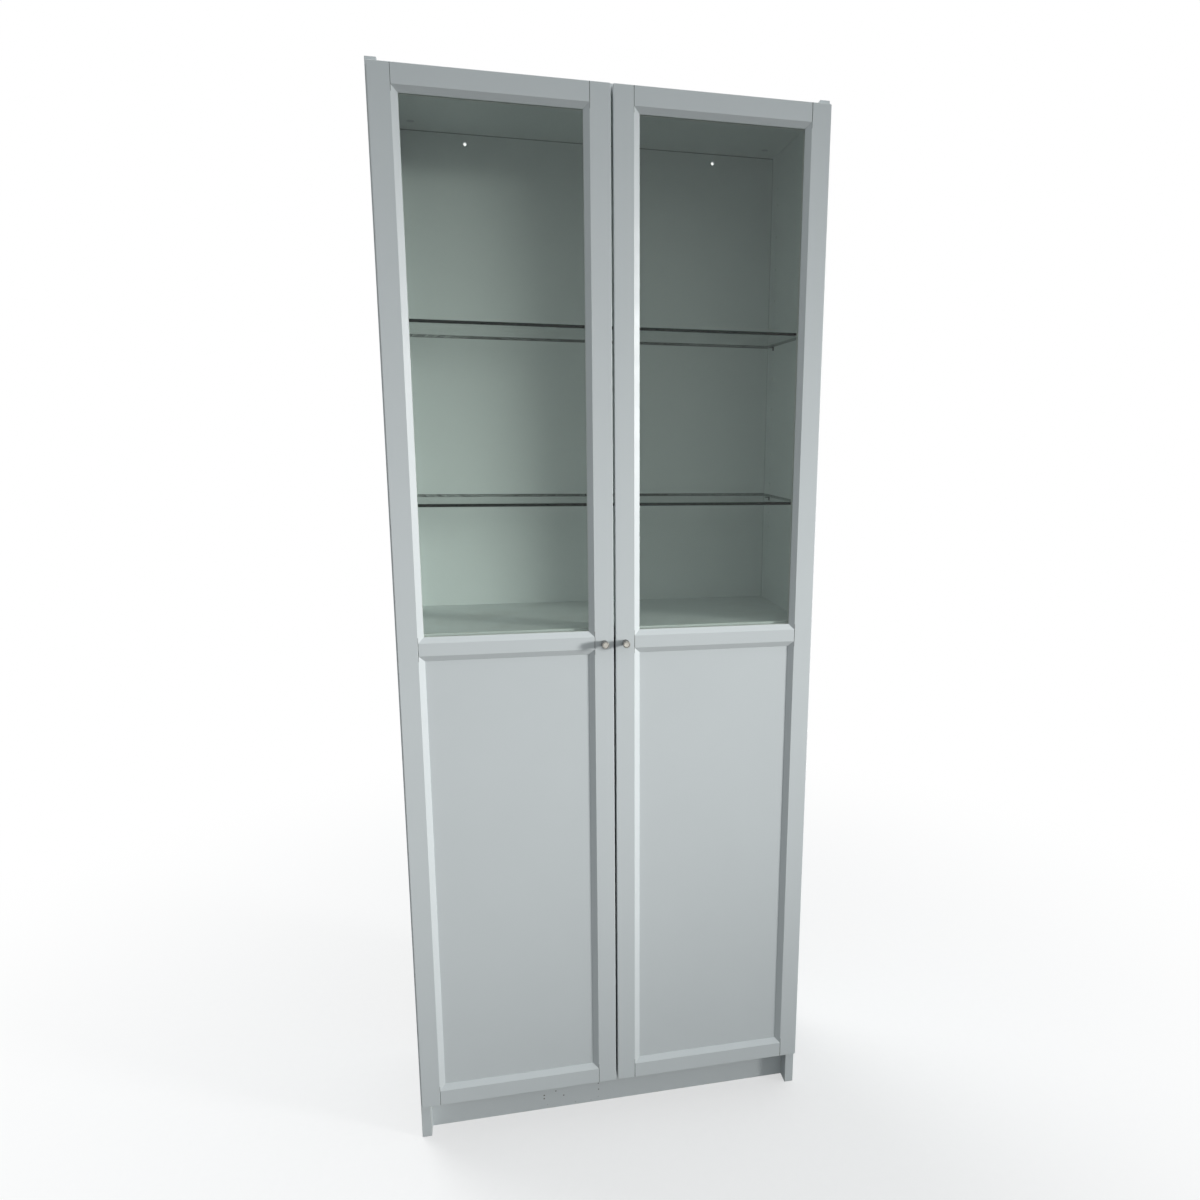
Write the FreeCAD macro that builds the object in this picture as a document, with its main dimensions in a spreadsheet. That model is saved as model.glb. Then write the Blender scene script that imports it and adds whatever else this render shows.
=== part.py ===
import FreeCAD, Part

import math
import os
import re

import Sketcher
from FreeCAD import Placement, Rotation, Vector

# Tall bookcase with a pair of side-hung doors, glazed above and panelled below.
# X runs across, Y from the doors to the back, Z up; the origin is the middle of the
# bounding box's bottom face. Sizes are in millimetres. The left half is modelled and
# the right half is its mirror image.

# ---------------------------------------------------------------- driving dimensions
SIZES = [
    # carcass
    ("cabinet_width", 800, "over the two side panels"),
    ("cabinet_height", 2020, "floor to the top of the side panels"),
    ("carcass_depth", 280, "front to rear edge of a side panel"),
    ("side_thickness", 19, "side panels"),
    ("board_thickness", 18, "top, fixed and adjustable boards"),
    ("board_edge_radius", 1.0, "rounding of the side panels' edges"),
    ("top_drop", 6, "top panel's upper face below the side panels' tops"),
    ("plinth_height", 88, "floor to the underside of the bottom shelf"),
    ("plinth_recess", 28, "plinth's front behind the side panels' front"),
    ("plinth_thickness", 16, "plinth board"),
    ("middle_shelf_top", 1060, "upper face of the fixed middle shelf"),
    ("back_thickness", 3, "folded hardboard back"),
    ("back_inset", 2, "back's rear face in front of the side panels' rear edge"),
    ("groove_depth", 6, "groove for the back in each side panel"),
    ("groove_play", 0.15, "play round the back in its groove"),
    ("groove_end_gap", 0.5, "back's edge short of the groove's floor"),
    ("back_top_drop", 4.5, "back's upper edge below the top panel's upper face"),
    ("fold_gap", 0.4, "gap between the two halves of the back"),
    ("tape_width", 40, "tape that joins the halves of the back"),
    ("tape_thickness", 0.3, "the same tape"),
    # shelf pin rows
    ("pin_pitch", 32, "spacing of the shelf pin holes"),
    ("pin_radius", 2.5, "shelf pin hole"),
    ("pin_hole_depth", 12, "shelf pin hole"),
    ("pin_front_inset", 37, "front row behind the side panel's front edge"),
    ("pin_rear_inset", 44, "rear row in front of the side panel's rear edge"),
    ("pin_base_height", 168, "lowest pin hole above the floor"),
    ("lower_pin_count", 23, "holes in a row of the lower compartment"),
    ("upper_start_count", 31, "pitches from the lowest hole to the first above the middle shelf"),
    ("upper_pin_count", 25, "holes in a row of the upper compartment"),
    # loose shelves
    ("glass_shelf_thickness", 6, "toughened glass shelf"),
    ("shelf_depth", 260, "glass and adjustable shelves"),
    ("shelf_set_back", 15, "loose shelf's front behind the side panels' front"),
    ("shelf_side_gap", 1.5, "play between a loose shelf and a side panel"),
    ("shelf_edge_radius", 0.8, "rounded front edge of a loose shelf"),
    ("glass_low_count", 35, "pitches from the lowest hole to the lower glass shelf's pegs"),
    ("glass_high_count", 45, "pitches from the lowest hole to the upper glass shelf's pegs"),
    ("board_low_count", 7, "pitches from the lowest hole to the lower adjustable shelf's pegs"),
    ("board_high_count", 16, "pitches from the lowest hole to the upper adjustable shelf's pegs"),
    # shelf pegs
    ("peg_reach", 9, "how far a peg's tongue stands out from the side panel"),
    ("peg_width", 9, "tongue, front to back"),
    ("peg_tongue", 1.8, "tongue's thickness"),
    ("peg_collar", 1.2, "collar against the side panel"),
    ("peg_drop", 7.5, "collar's height"),
    # clearances that many pieces share
    ("fit_gap", 0.05, "play of pins, dowels and screws in their holes"),
    ("end_gap", 1, "a pin, dowel or bolt is shorter than its hole by this"),
    ("tip_gap", 0.5, "a small screw is shorter than its hole by this"),
    ("overrun", 1, "a cutting shape reaches this far past the face that it cuts"),
    # joints between the boards
    ("dowel_radius", 4, "wooden dowel's hole"),
    ("dowel_in_side", 12, "dowel hole in a side panel"),
    ("dowel_in_board", 20, "dowel hole in a board's end"),
    ("cam_radius", 7.5, "cam nut's bore"),
    ("cam_depth", 13, "cam nut's bore, from the board's underside"),
    ("cam_inset", 34, "cam nut's centre from the board's end"),
    ("cam_slot", 7.2, "slot in the cam nut for the bolt's head"),
    ("bolt_rod_radius", 3, "cam bolt's rod"),
    ("bolt_thread_radius", 2.5, "hole for the cam bolt's thread"),
    ("bolt_in_side", 12, "hole for the cam bolt's thread in a side panel"),
    ("joint_inset", 50, "cam bolts' distance from a board's front and rear edge"),
    ("joint_spacing", 32, "dowel's distance from the cam bolt beside it"),
    ("nail_radius", 0.7, "nail's shank"),
    ("nail_head_radius", 2.4, "nail's head"),
    ("nail_head_thickness", 0.7, "nail's head"),
    ("nail_length", 19, "nail below its head"),
    ("nail_first", 90, "innermost nail from the middle of the back"),
    ("nail_spacing", 120, "between nails along a board"),
    # wall brackets
    ("bracket_offset", 250, "brackets' distance from the middle"),
    ("bracket_width", 30, "steel angle"),
    ("bracket_thickness", 1.5, "steel angle"),
    ("bracket_top_leg", 42, "leg on the top panel"),
    ("bracket_wall_leg", 48, "leg behind the top panel"),
    ("bracket_screw_offset", 7.5, "screws into the top panel, from the bracket's middle"),
    ("bracket_screw_radius", 2, "screw into the top panel"),
    ("bracket_screw_head_radius", 4, "the same screw's head"),
    ("bracket_screw_head", 2, "the same screw's head"),
    ("bracket_screw_length", 14, "screw below the bracket"),
    ("wall_hole_radius", 3, "hole for the wall screw in the bracket"),
    ("wall_hole_play", 1, "the back's hole is larger by this"),
    ("wall_hole_rise", 12, "wall hole above the end of the bracket's leg"),
    # doors
    ("door_gap", 2, "doors' back to the side panels' front"),
    ("door_thickness", 19, "door frame"),
    ("door_height", 1923, "door frame"),
    ("door_reveal", 4.1, "door's outer edge inside the side panel's outer face"),
    ("door_bottom", 85, "doors' lower edge above the floor"),
    ("meeting_gap", 4, "between the two doors"),
    ("frame_flat", 36, "flat front of a stile"),
    ("top_rail_flat", 32.6, "flat front of the top rail"),
    ("middle_rail_flat", 23.6, "flat front of the middle rail"),
    ("bottom_rail_flat", 32.5, "flat front of the bottom rail"),
    ("middle_rail_rise", 937.4, "door's lower edge to the middle rail's flat"),
    ("bevel_width", 10.7, "sloping inner edge of the frame"),
    ("bevel_depth", 6, "the same slope, front to back"),
    ("pane_setback", 7, "pane's front behind the frame's front"),
    ("pane_thickness", 4, "glass pane and lower panel"),
    ("rabbet_width", 7.5, "seat of the pane in the frame"),
    ("pane_play", 1, "gap round the pane in its seat"),
    ("bead_play", 0.3, "gap beside a glazing bead"),
    ("joint_groove", 1.0, "eased edges where a rail meets a stile"),
    ("corner_radius", 2.5, "door's outer corners"),
    ("edge_radius", 1.2, "door's front edges"),
    ("frame_dowel_radius", 4, "dowel's hole between rail and stile"),
    ("frame_dowel_in_stile", 14, "the same hole, in the stile"),
    ("frame_dowel_in_rail", 20, "the same hole, in the rail"),
    ("knob_radius", 6.8, "knob's end"),
    ("knob_neck_radius", 5.2, "knob's base"),
    ("knob_reach", 22, "knob in front of the door"),
    ("knob_head", 14, "length of the knob's full diameter"),
    ("knob_slope", 1, "slope from the knob's base to its full diameter"),
    ("knob_dish_radius", 4.6, "hollow in the knob's end"),
    ("knob_dish", 0.5, "the same hollow's depth"),
    ("knob_rounding", 0.9, "knob's rounded front rim"),
    ("knob_screw_radius", 2, "screw's thread"),
    ("knob_screw_in_knob", 9, "screw inside the knob"),
    ("knob_screw_head_radius", 4, "screw's head behind the door"),
    ("knob_screw_head", 1.5, "the same head's thickness"),
    ("bumper_radius", 4, "felt bumper"),
    ("bumper_thickness", 1.7, "felt bumper"),
    ("bumper_inset", 14, "bumper's centre from the meeting edge"),
    # hinges
    ("hinge_count", 4, "hinges on a door"),
    ("hinge_step_count", 18, "pitches between one hinge and the next"),
    ("cup_inset", 20.7, "cup's centre from the door's outer edge"),
    ("cup_radius", 17.4, "hinge cup"),
    ("cup_wall", 0.9, "hinge cup's wall and floor"),
    ("cup_depth", 11.4, "hinge cup below the door's back"),
    ("cup_bore_play", 0.1, "the door's bore is larger by this"),
    ("cup_bore_extra", 0.6, "the door's bore is deeper by this"),
    ("cup_rim", 0.8, "rim beyond the cup"),
    ("cup_flange", 1.2, "flange on the door's back"),
    ("wing_inset", 9.5, "flange screws beyond the cup's centre"),
    ("wing_width", 11, "flange across the screws"),
    ("wing_screw_offset", 24, "flange screws above and below the cup's centre"),
    ("wing_end", 5, "flange beyond its screws"),
    ("cup_screw_radius", 1.7, "flange screw's hole in the door"),
    ("cup_screw_head_radius", 3.2, "flange screw's head"),
    ("cup_screw_head", 0.9, "flange screw's head"),
    ("cup_screw_length", 12, "flange screw below its head"),
    ("cup_pivot_inset", 13.3, "pivot in the cup, from the side panel's outer face"),
    ("cup_pivot_depth", 6.1, "pivot in the cup, below the door's back"),
    ("arm_pivot_inset", 36, "pivot in the arm, from the side panel's outer face"),
    ("arm_pivot_setback", 11.5, "pivot in the arm, behind the door's back"),
    ("pivot_pin_radius", 1.2, "hinge pins"),
    ("cup_pin_half", 11.9, "half the length of the pin in the cup"),
    ("link_rise", 10, "bend of the hinge link out of the line of its pivots"),
    ("link_thickness", 3, "hinge link, seen from above"),
    ("link_height", 9, "hinge link, along its pins"),
    ("eye_radius", 2.6, "hinge link round its pins"),
    ("arm_wall", 1.5, "pressed steel arm"),
    ("arm_height", 13, "arm, along its pins"),
    ("arm_nose", 3.6, "arm round its pin"),
    ("arm_nose_rounding", 3.4, "arm's corners at its pin"),
    ("arm_foot", 13.2, "arm's sides reach down to the plate this far behind its pin"),
    ("arm_bend_shift", 1, "inner bends of the arm's slope against the outer ones"),
    ("arm_plate_gap", 0.2, "play between the arm and the plate and its block"),
    ("arm_length", 38, "arm behind its pin"),
    ("arm_low", 8.5, "arm's rear part above the side panel"),
    ("arm_shoulder", 26, "arm's rear part starts this far behind its pin"),
    ("plate_thickness", 2.5, "hinge mounting plate"),
    ("plate_length", 26, "mounting plate, front to back"),
    ("plate_width", 16, "mounting plate under the arm"),
    ("plate_wing_length", 13, "mounting plate's wings, front to back"),
    ("plate_wing_height", 46, "mounting plate over its wings"),
    ("riser_length", 11, "block on the plate that carries the arm"),
    ("plate_screw_head_radius", 3.6, "mounting plate's screws"),
    ("plate_screw_head", 1.4, "the same screws' heads"),
    ("arm_screw_radius", 2, "screw that clamps the arm"),
    ("arm_screw_head_radius", 3.4, "the same screw's head"),
    ("arm_screw_head", 1.3, "the same screw's head"),
]

ALIASES = {alias for alias, value, note in SIZES}

# ------------------------------------------------ places worked out from those sizes
OUTER_X = "(0 - cabinet_width / 2)"
INNER_X = "(side_thickness - cabinet_width / 2)"
INNER_WIDTH = "(cabinet_width - 2 * side_thickness)"
BACK_Y = "((knob_reach + door_thickness + door_gap + carcass_depth) / 2)"
FRONT_Y = f"({BACK_Y} - carcass_depth)"
DOOR_BACK_Y = f"({FRONT_Y} - door_gap)"
DOOR_FRONT_Y = f"({DOOR_BACK_Y} - door_thickness)"
DOOR_WIDTH = "(cabinet_width / 2 - meeting_gap / 2 - door_reveal)"
DOOR_X = "(door_reveal - cabinet_width / 2)"
BOARD_BACK_Y = f"({BACK_Y} - back_inset - back_thickness)"
PLINTH_Y = f"({FRONT_Y} + plinth_recess)"
TOP_UNDERSIDE = "(cabinet_height - top_drop - board_thickness)"
MIDDLE_UNDERSIDE = "(middle_shelf_top - board_thickness)"
BOARD_UNDERSIDES = ["plinth_height", MIDDLE_UNDERSIDE, TOP_UNDERSIDE]
PIN_FRONT_Y = f"({FRONT_Y} + pin_front_inset)"
PIN_REAR_Y = f"({BACK_Y} - pin_rear_inset)"
FRAME_WIDTH = "(frame_flat + bevel_width)"
MIDDLE_RAIL_TOP = "(middle_rail_rise + middle_rail_flat)"
TOP_RAIL_LOW = "(door_height - top_rail_flat)"
KNOB_HEIGHT = "(middle_rail_rise + middle_rail_flat / 2)"

SKETCH_START = 100.0  # points of a sketch start this far out, before their places are bound
TOLERANCE = 1e-4

document = FreeCAD.newDocument("Bookcase")
exported = []


def bind(thing, prop, formula):
    """Bind one property to a formula of the sheet's aliases."""
    text = re.sub(
        r"[a-z_]+", lambda m: "Sizes." + m.group(0) if m.group(0) in ALIASES else m.group(0), formula
    )
    thing.setExpression(prop, text)


def make_sheet():
    sheet = document.addObject("Spreadsheet::Sheet", "Sizes")
    for row, (alias, value, note) in enumerate(SIZES, start=1):
        sheet.set(f"A{row}", alias)
        sheet.set(f"B{row}", str(value))
        sheet.set(f"C{row}", note)
        sheet.setAlias(f"B{row}", alias)
    document.recompute()
    return sheet


def value(alias):
    """The sheet's number under an alias."""
    return float(sheet.get(alias))


def place(thing, at, rotation=None):
    """Put a thing at three formulas, turned by a fixed rotation."""
    thing.Placement = Placement(Vector(), rotation or Rotation())
    for axis, formula in zip("xyz", at):
        bind(thing, f"Placement.Base.{axis}", formula)
    return thing


def keep(thing, label):
    """Name a finished sub-part, which is then written to its own file."""
    thing.Label = label
    exported.append(thing)
    return thing


# -------------------------------------------------------- primitives and their sums
AXIS_TURNS = {
    "X": Rotation(Vector(0, 1, 0), 90),
    "Y": Rotation(Vector(1, 0, 0), -90),
    "Z": Rotation(),
}


def box(name, size, at):
    solid = document.addObject("Part::Box", name)
    for prop, formula in zip(("Length", "Width", "Height"), size):
        bind(solid, prop, formula)
    return place(solid, at)


def rod(name, radius, length, at, axis):
    """A cylinder that starts at a point and runs along +X, +Y or +Z."""
    solid = document.addObject("Part::Cylinder", name)
    bind(solid, "Radius", radius)
    bind(solid, "Height", length)
    return place(solid, at, AXIS_TURNS[axis])


def fuse(name, solids):
    whole = document.addObject("Part::MultiFuse", name)
    whole.Shapes = solids
    return whole


def cut(name, base, tools):
    rest = document.addObject("Part::Cut", name)
    rest.Base = base
    rest.Tool = tools[0] if len(tools) == 1 else fuse(name + "_tools", tools)
    return rest


def group(name, solids):
    together = document.addObject("Part::Compound", name)
    together.Links = solids
    return together


def mirrored(name, source):
    """The mirror image across the middle of the bookcase."""
    image = document.addObject("Part::Mirroring", name)
    image.Source = source
    image.Base = Vector(0, 0, 0)
    image.Normal = Vector(1, 0, 0)
    return image


def copies(name, source, places):
    """Linked copies of one solid at several places, as one group."""
    links = []
    for number, at in enumerate(places):
        link = document.addObject("App::Link", f"{name}_{number}")
        link.LinkedObject = source
        link.LinkTransform = True
        place(link, at)
        links.append(link)
    return group(name, links)


def both_sides(name, left):
    return group(name, [left, mirrored(name + "_right", left)])


# ------------------------------------------------------------ sketch-based features
def origin_plane(body, role):
    for feature in body.Origin.OriginFeatures:
        if feature.Role == role:
            return feature
    raise RuntimeError("no origin feature " + role)


def new_body(name, at):
    body = document.addObject("PartDesign::Body", name)
    return place(body, at)


def new_sketch(body, plane, offset):
    """A sketch on an origin plane, or moved along that plane's normal."""
    sketch = body.newObject("Sketcher::SketchObject", body.Name + "_sketch")
    sketch.AttachmentSupport = [(origin_plane(body, plane), "")]
    sketch.MapMode = "FlatFace"
    if offset:
        bind(sketch, "AttachmentOffset.Base.z", offset)
    return sketch


def fix_point(sketch, element, point, at):
    """Hold one point of a sketch at two formulas, counted from its origin."""
    for kind, formula in zip(("DistanceX", "DistanceY"), at):
        index = sketch.addConstraint(Sketcher.Constraint(kind, -1, 1, element, point, 1.0))
        bind(sketch, f"Constraints[{index}]", formula)


def polygon(body, plane, points, offset=None):
    """A closed outline with straight sides."""
    sketch = new_sketch(body, plane, offset)
    count = len(points)
    turn = 2 * math.pi / count
    start = Vector(SKETCH_START, 0, 0)
    corners = [Rotation(Vector(0, 0, 1), Radian=i * turn).multVec(start) for i in range(count)]
    for i in range(count):
        sketch.addGeometry(Part.LineSegment(corners[i], corners[(i + 1) % count]), False)
    for i in range(count):
        sketch.addConstraint(Sketcher.Constraint("Coincident", i, 2, (i + 1) % count, 1))
    for i, at in enumerate(points):
        fix_point(sketch, i, 1, at)
    return sketch


def rectangle(body, plane, low, high, offset=None):
    corners = [low, (high[0], low[1]), high, (low[0], high[1])]
    return polygon(body, plane, corners, offset)


def circles(body, plane, centres, radius, offset=None):
    sketch = new_sketch(body, plane, offset)
    for i, at in enumerate(centres):
        start = Vector(SKETCH_START * (i + 1), SKETCH_START, 0)
        sketch.addGeometry(Part.Circle(start, Vector(0, 0, 1), 1.0), False)
        fix_point(sketch, i, 3, at)
        index = sketch.addConstraint(Sketcher.Constraint("Radius", i, 1.0))
        bind(sketch, f"Constraints[{index}]", radius)
    return sketch


def pad(body, sketch, length, symmetric=False):
    feature = body.newObject("PartDesign::Pad", body.Name + "_pad")
    feature.Profile = sketch
    bind(feature, "Length", length)
    feature.Midplane = symmetric
    return feature


def pocket(body, sketch, depth=None, reverse=False, symmetric=False):
    """Cut a sketch to a depth, or through everything where no depth is given."""
    feature = body.newObject("PartDesign::Pocket", body.Name + "_pocket")
    feature.Profile = sketch
    if depth:
        bind(feature, "Length", depth)
    else:
        feature.Type = "ThroughAll"
    feature.Reversed = reverse
    feature.Midplane = symmetric
    return feature


def row_of(body, feature, length, count):
    """Repeat a cut upwards, evenly over a length."""
    pattern = body.newObject("PartDesign::LinearPattern", body.Name + "_row")
    pattern.Originals = [feature]
    pattern.Direction = (origin_plane(body, "Z_Axis"), [""])
    bind(pattern, "Length", length)
    bind(pattern, "Occurrences", count)
    body.Tip = pattern
    return pattern


def mirror_cuts(body, features):
    """Repeat cuts on the other side of the body's own YZ plane."""
    pattern = body.newObject("PartDesign::Mirrored", body.Name + "_mirrored")
    pattern.Originals = features
    pattern.MirrorPlane = (origin_plane(body, "YZ_Plane"), [""])
    body.Tip = pattern
    return pattern


def round_edges(body, feature, wanted, radius):
    """Fillet the edges of a feature whose middle point passes a test."""
    document.recompute()
    names = []
    for number, edge in enumerate(feature.Shape.Edges, start=1):
        middle = edge.valueAt((edge.FirstParameter + edge.LastParameter) / 2)
        direction = edge.tangentAt(edge.FirstParameter)
        if wanted(middle, direction):
            names.append(f"Edge{number}")
    if not names:
        raise RuntimeError("no edge to round on " + body.Name)
    fillet = body.newObject("PartDesign::Fillet", body.Name + "_fillet")
    fillet.Base = (feature, names)
    bind(fillet, "Radius", radius)
    return fillet


def near(a, b):
    return abs(a - b) < TOLERANCE


# ------------------------------------------------------------------------- carcass
def joint_places():
    """Front-to-back places of the cam bolts and of the dowels in a board's end."""
    front = f"({FRONT_Y} + joint_inset)"
    rear = f"({BOARD_BACK_Y} - joint_inset)"
    return [front, rear], [f"({front} + joint_spacing)", f"({rear} - joint_spacing)"]


def plinth_dowel_place():
    return f"({PLINTH_Y} + plinth_thickness / 2)", "(plinth_height / 2)"


def side_panel():
    """Left side panel, drawn from its outer face inwards."""
    body = new_body("SidePanel", (OUTER_X, "0", "0"))
    outline = rectangle(body, "YZ_Plane", (FRONT_Y, "0"), (BACK_Y, "cabinet_height"))
    slab = pad(body, outline, "side_thickness")
    height = value("cabinet_height")

    def front_or_top(middle, direction):
        upright_front = near(abs(direction.z), 1) and middle.y < 0
        top = near(middle.z, height) and not near(abs(direction.x), 1)
        return upright_front or top

    round_edges(body, slab, front_or_top, "board_edge_radius")
    groove = rectangle(
        body, "XY_Plane",
        ("side_thickness - groove_depth", f"{BACK_Y} - back_inset - back_thickness - groove_play"),
        ("side_thickness + overrun", f"{BACK_Y} - back_inset + groove_play"),
    )
    pocket(body, groove, reverse=True)

    rows = (("0", "lower_pin_count"), ("upper_start_count", "upper_pin_count"))
    for first, count in rows:
        level = f"pin_base_height + pin_pitch * {first}"
        holes = circles(
            body, "YZ_Plane", [(PIN_FRONT_Y, level), (PIN_REAR_Y, level)], "pin_radius", "side_thickness"
        )
        drilled = pocket(body, holes, "pin_hole_depth")
        row_of(body, drilled, f"pin_pitch * ({count} - 1)", count)

    bolts, dowels = joint_places()
    levels = [f"({low} + board_thickness / 2)" for low in BOARD_UNDERSIDES]
    bolt_holes = circles(
        body, "YZ_Plane", [(y, z) for z in levels for y in bolts], "bolt_thread_radius", "side_thickness"
    )
    pocket(body, bolt_holes, "bolt_in_side")
    dowel_spots = [(y, z) for z in levels for y in dowels] + [plinth_dowel_place()]
    dowel_holes = circles(body, "YZ_Plane", dowel_spots, "dowel_radius", "side_thickness")
    pocket(body, dowel_holes, "dowel_in_side")
    return body


def fixed_board(name, underside):
    """A board between the side panels, with its cam bores and dowel holes."""
    body = new_body(name, ("0", "0", underside))
    end = "(0 - cabinet_width / 2 + side_thickness)"
    outline = rectangle(body, "YZ_Plane", (FRONT_Y, "0"), (BOARD_BACK_Y, "board_thickness"), end)
    pad(body, outline, INNER_WIDTH)
    bolts, dowels = joint_places()
    half = "board_thickness / 2"
    channel = circles(body, "YZ_Plane", [(y, half) for y in bolts], "bolt_rod_radius + fit_gap", end)
    channels = pocket(body, channel, "cam_inset", reverse=True)
    dowel = circles(body, "YZ_Plane", [(y, half) for y in dowels], "dowel_radius", end)
    dowel_holes = pocket(body, dowel, "dowel_in_board", reverse=True)
    cam = circles(body, "XY_Plane", [(f"{end} + cam_inset", y) for y in bolts], "cam_radius")
    cam_bores = pocket(body, cam, "cam_depth", reverse=True)
    mirror_cuts(body, [channels, dowel_holes, cam_bores])
    return body


def plinth():
    body = new_body("Plinth", ("0", "0", "0"))
    end = "(0 - cabinet_width / 2 + side_thickness)"
    back = f"{PLINTH_Y} + plinth_thickness"
    pad(body, rectangle(body, "YZ_Plane", (PLINTH_Y, "0"), (back, "plinth_height"), end), INNER_WIDTH)
    dowel = circles(body, "YZ_Plane", [plinth_dowel_place()], "dowel_radius", end)
    mirror_cuts(body, [pocket(body, dowel, "dowel_in_board", reverse=True)])
    return body


def back_half():
    """Left half of the folded back, with its hole for the wall screw."""
    rear = f"({BACK_Y} - back_inset)"
    width = f"({INNER_WIDTH} / 2 + groove_depth - groove_end_gap - fold_gap / 2)"
    height = "(cabinet_height - top_drop - plinth_height - back_top_drop)"
    sheet_board = box(
        "BackSheet", (width, "back_thickness", height),
        (f"{INNER_X} - groove_depth + groove_end_gap", f"{rear} - back_thickness", "plinth_height"),
    )
    hole = rod(
        "BackWallHole", "wall_hole_radius + wall_hole_play", "back_thickness + 2 * overrun",
        ("0 - bracket_offset", f"{rear} - back_thickness - overrun", wall_hole_height()), "Y",
    )
    return cut("BackHalf", sheet_board, [hole])


def wall_hole_height():
    return "(cabinet_height - top_drop - bracket_wall_leg + wall_hole_rise)"


def back_tape():
    height = f"{TOP_UNDERSIDE} - plinth_height"
    return box(
        "BackTape", ("tape_width", "tape_thickness", height),
        ("0 - tape_width / 2", f"{BACK_Y} - back_inset", "plinth_height"),
    )


def nail_group():
    shank = rod("NailShank", "nail_radius", "nail_length", ("0", "0 - nail_length", "0"), "Y")
    head = rod("NailHead", "nail_head_radius", "nail_head_thickness", ("0", "0", "0"), "Y")
    nail = fuse("Nail", [shank, head])
    places = []
    for low in BOARD_UNDERSIDES:
        for step in range(3):
            across = f"0 - nail_first - nail_spacing * {step}"
            places.append((across, f"{BACK_Y} - back_inset", f"{low} + board_thickness / 2"))
    return both_sides("Nails", copies("NailsLeft", nail, places))


def end_joints():
    """Cam bolts, cam nuts and dowels of the left ends, each mirrored to the right."""
    thread = rod(
        "BoltThread", "bolt_thread_radius - fit_gap", "bolt_in_side - end_gap",
        ("end_gap - bolt_in_side", "0", "0"), "X",
    )
    stem = rod("BoltStem", "bolt_rod_radius", "cam_inset - end_gap", ("0", "0", "0"), "X")
    bolt = fuse("CamBolt", [thread, stem])

    drum = rod("CamDrum", "cam_radius - fit_gap", "cam_depth - end_gap", ("0", "0", "0"), "Z")
    slot = box(
        "CamSlot", ("cam_radius + 2 * overrun", "cam_slot", "cam_depth"),
        ("0 - cam_radius - overrun", "0 - cam_slot / 2", "board_thickness / 2 - cam_slot / 2"),
    )
    nut = cut("CamNut", drum, [slot])

    dowel = rod(
        "Dowel", "dowel_radius - fit_gap", "dowel_in_side + dowel_in_board - 2 * end_gap",
        ("end_gap - dowel_in_side", "0", "0"), "X",
    )
    bolts, dowels = joint_places()
    bolt_places = []
    nut_places = []
    dowel_places = [(INNER_X, *plinth_dowel_place())]
    for low in BOARD_UNDERSIDES:
        middle = f"{low} + board_thickness / 2"
        for y in bolts:
            bolt_places.append((INNER_X, y, middle))
            nut_places.append((f"{INNER_X} + cam_inset", y, low))
        for y in dowels:
            dowel_places.append((INNER_X, y, middle))
    keep(both_sides("CamBolts", copies("CamBoltsLeft", bolt, bolt_places)), "cam_bolts")
    keep(both_sides("CamNuts", copies("CamNutsLeft", nut, nut_places)), "cam_nuts")
    keep(both_sides("Dowels", copies("DowelsLeft", dowel, dowel_places)), "wood_dowels")


def wall_brackets():
    top = "(cabinet_height - top_drop)"
    leg_y = f"({BACK_Y} - back_inset + tape_thickness)"
    left = "(0 - bracket_offset - bracket_width / 2)"
    level = box(
        "BracketTop", ("bracket_width", "bracket_top_leg", "bracket_thickness"),
        (left, f"{leg_y} + bracket_thickness - bracket_top_leg", top),
    )
    upright = box(
        "BracketLeg", ("bracket_width", "bracket_thickness", "bracket_wall_leg + bracket_thickness"),
        (left, leg_y, f"{top} - bracket_wall_leg"),
    )
    screw_y = f"{BOARD_BACK_Y} - bracket_top_leg / 2"
    spots = [
        (f"0 - bracket_offset + ({side}) * bracket_screw_offset", screw_y, top) for side in ("-1", "1")
    ]
    holes = [
        rod(f"BracketHole{i}", "bracket_screw_radius + 2 * fit_gap", "bracket_thickness + 2 * overrun",
            (x, y, f"{z} - overrun"), "Z")
        for i, (x, y, z) in enumerate(spots)
    ]
    wall_hole = rod(
        "WallHole", "wall_hole_radius", "bracket_thickness + 2 * overrun",
        ("0 - bracket_offset", f"{leg_y} - overrun", wall_hole_height()), "Y",
    )
    angle = cut("Bracket", fuse("BracketAngle", [level, upright]), holes + [wall_hole])
    keep(both_sides("Brackets", angle), "wall_brackets")

    shank = rod(
        "BracketShank", "bracket_screw_radius", "bracket_screw_length + bracket_thickness",
        ("0", "0", "0 - bracket_screw_length"), "Z",
    )
    head = rod(
        "BracketScrewHead", "bracket_screw_head_radius", "bracket_screw_head",
        ("0", "0", "bracket_thickness"), "Z",
    )
    screw = fuse("BracketScrew", [shank, head])
    keep(both_sides("BracketScrews", copies("BracketScrewsLeft", screw, spots)), "wall_bracket_screws")


# ------------------------------------------------------------------- loose shelves
def pin_height(pitches):
    return f"(pin_base_height + pin_pitch * {pitches})"


def loose_shelf(name, pitches, thickness):
    """A shelf that rests on the tongues of four pegs."""
    body = new_body(name, ("0", "0", f"{pin_height(pitches)} + pin_radius"))
    end = "(0 - cabinet_width / 2 + side_thickness + shelf_side_gap)"
    front = f"({FRONT_Y} + shelf_set_back)"
    outline = rectangle(body, "YZ_Plane", (front, "0"), (f"{front} + shelf_depth", thickness), end)
    slab = pad(body, outline, f"{INNER_WIDTH} - 2 * shelf_side_gap")

    def long_front(middle, direction):
        return near(abs(direction.x), 1) and middle.y < 0

    round_edges(body, slab, long_front, "shelf_edge_radius")
    return body


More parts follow.
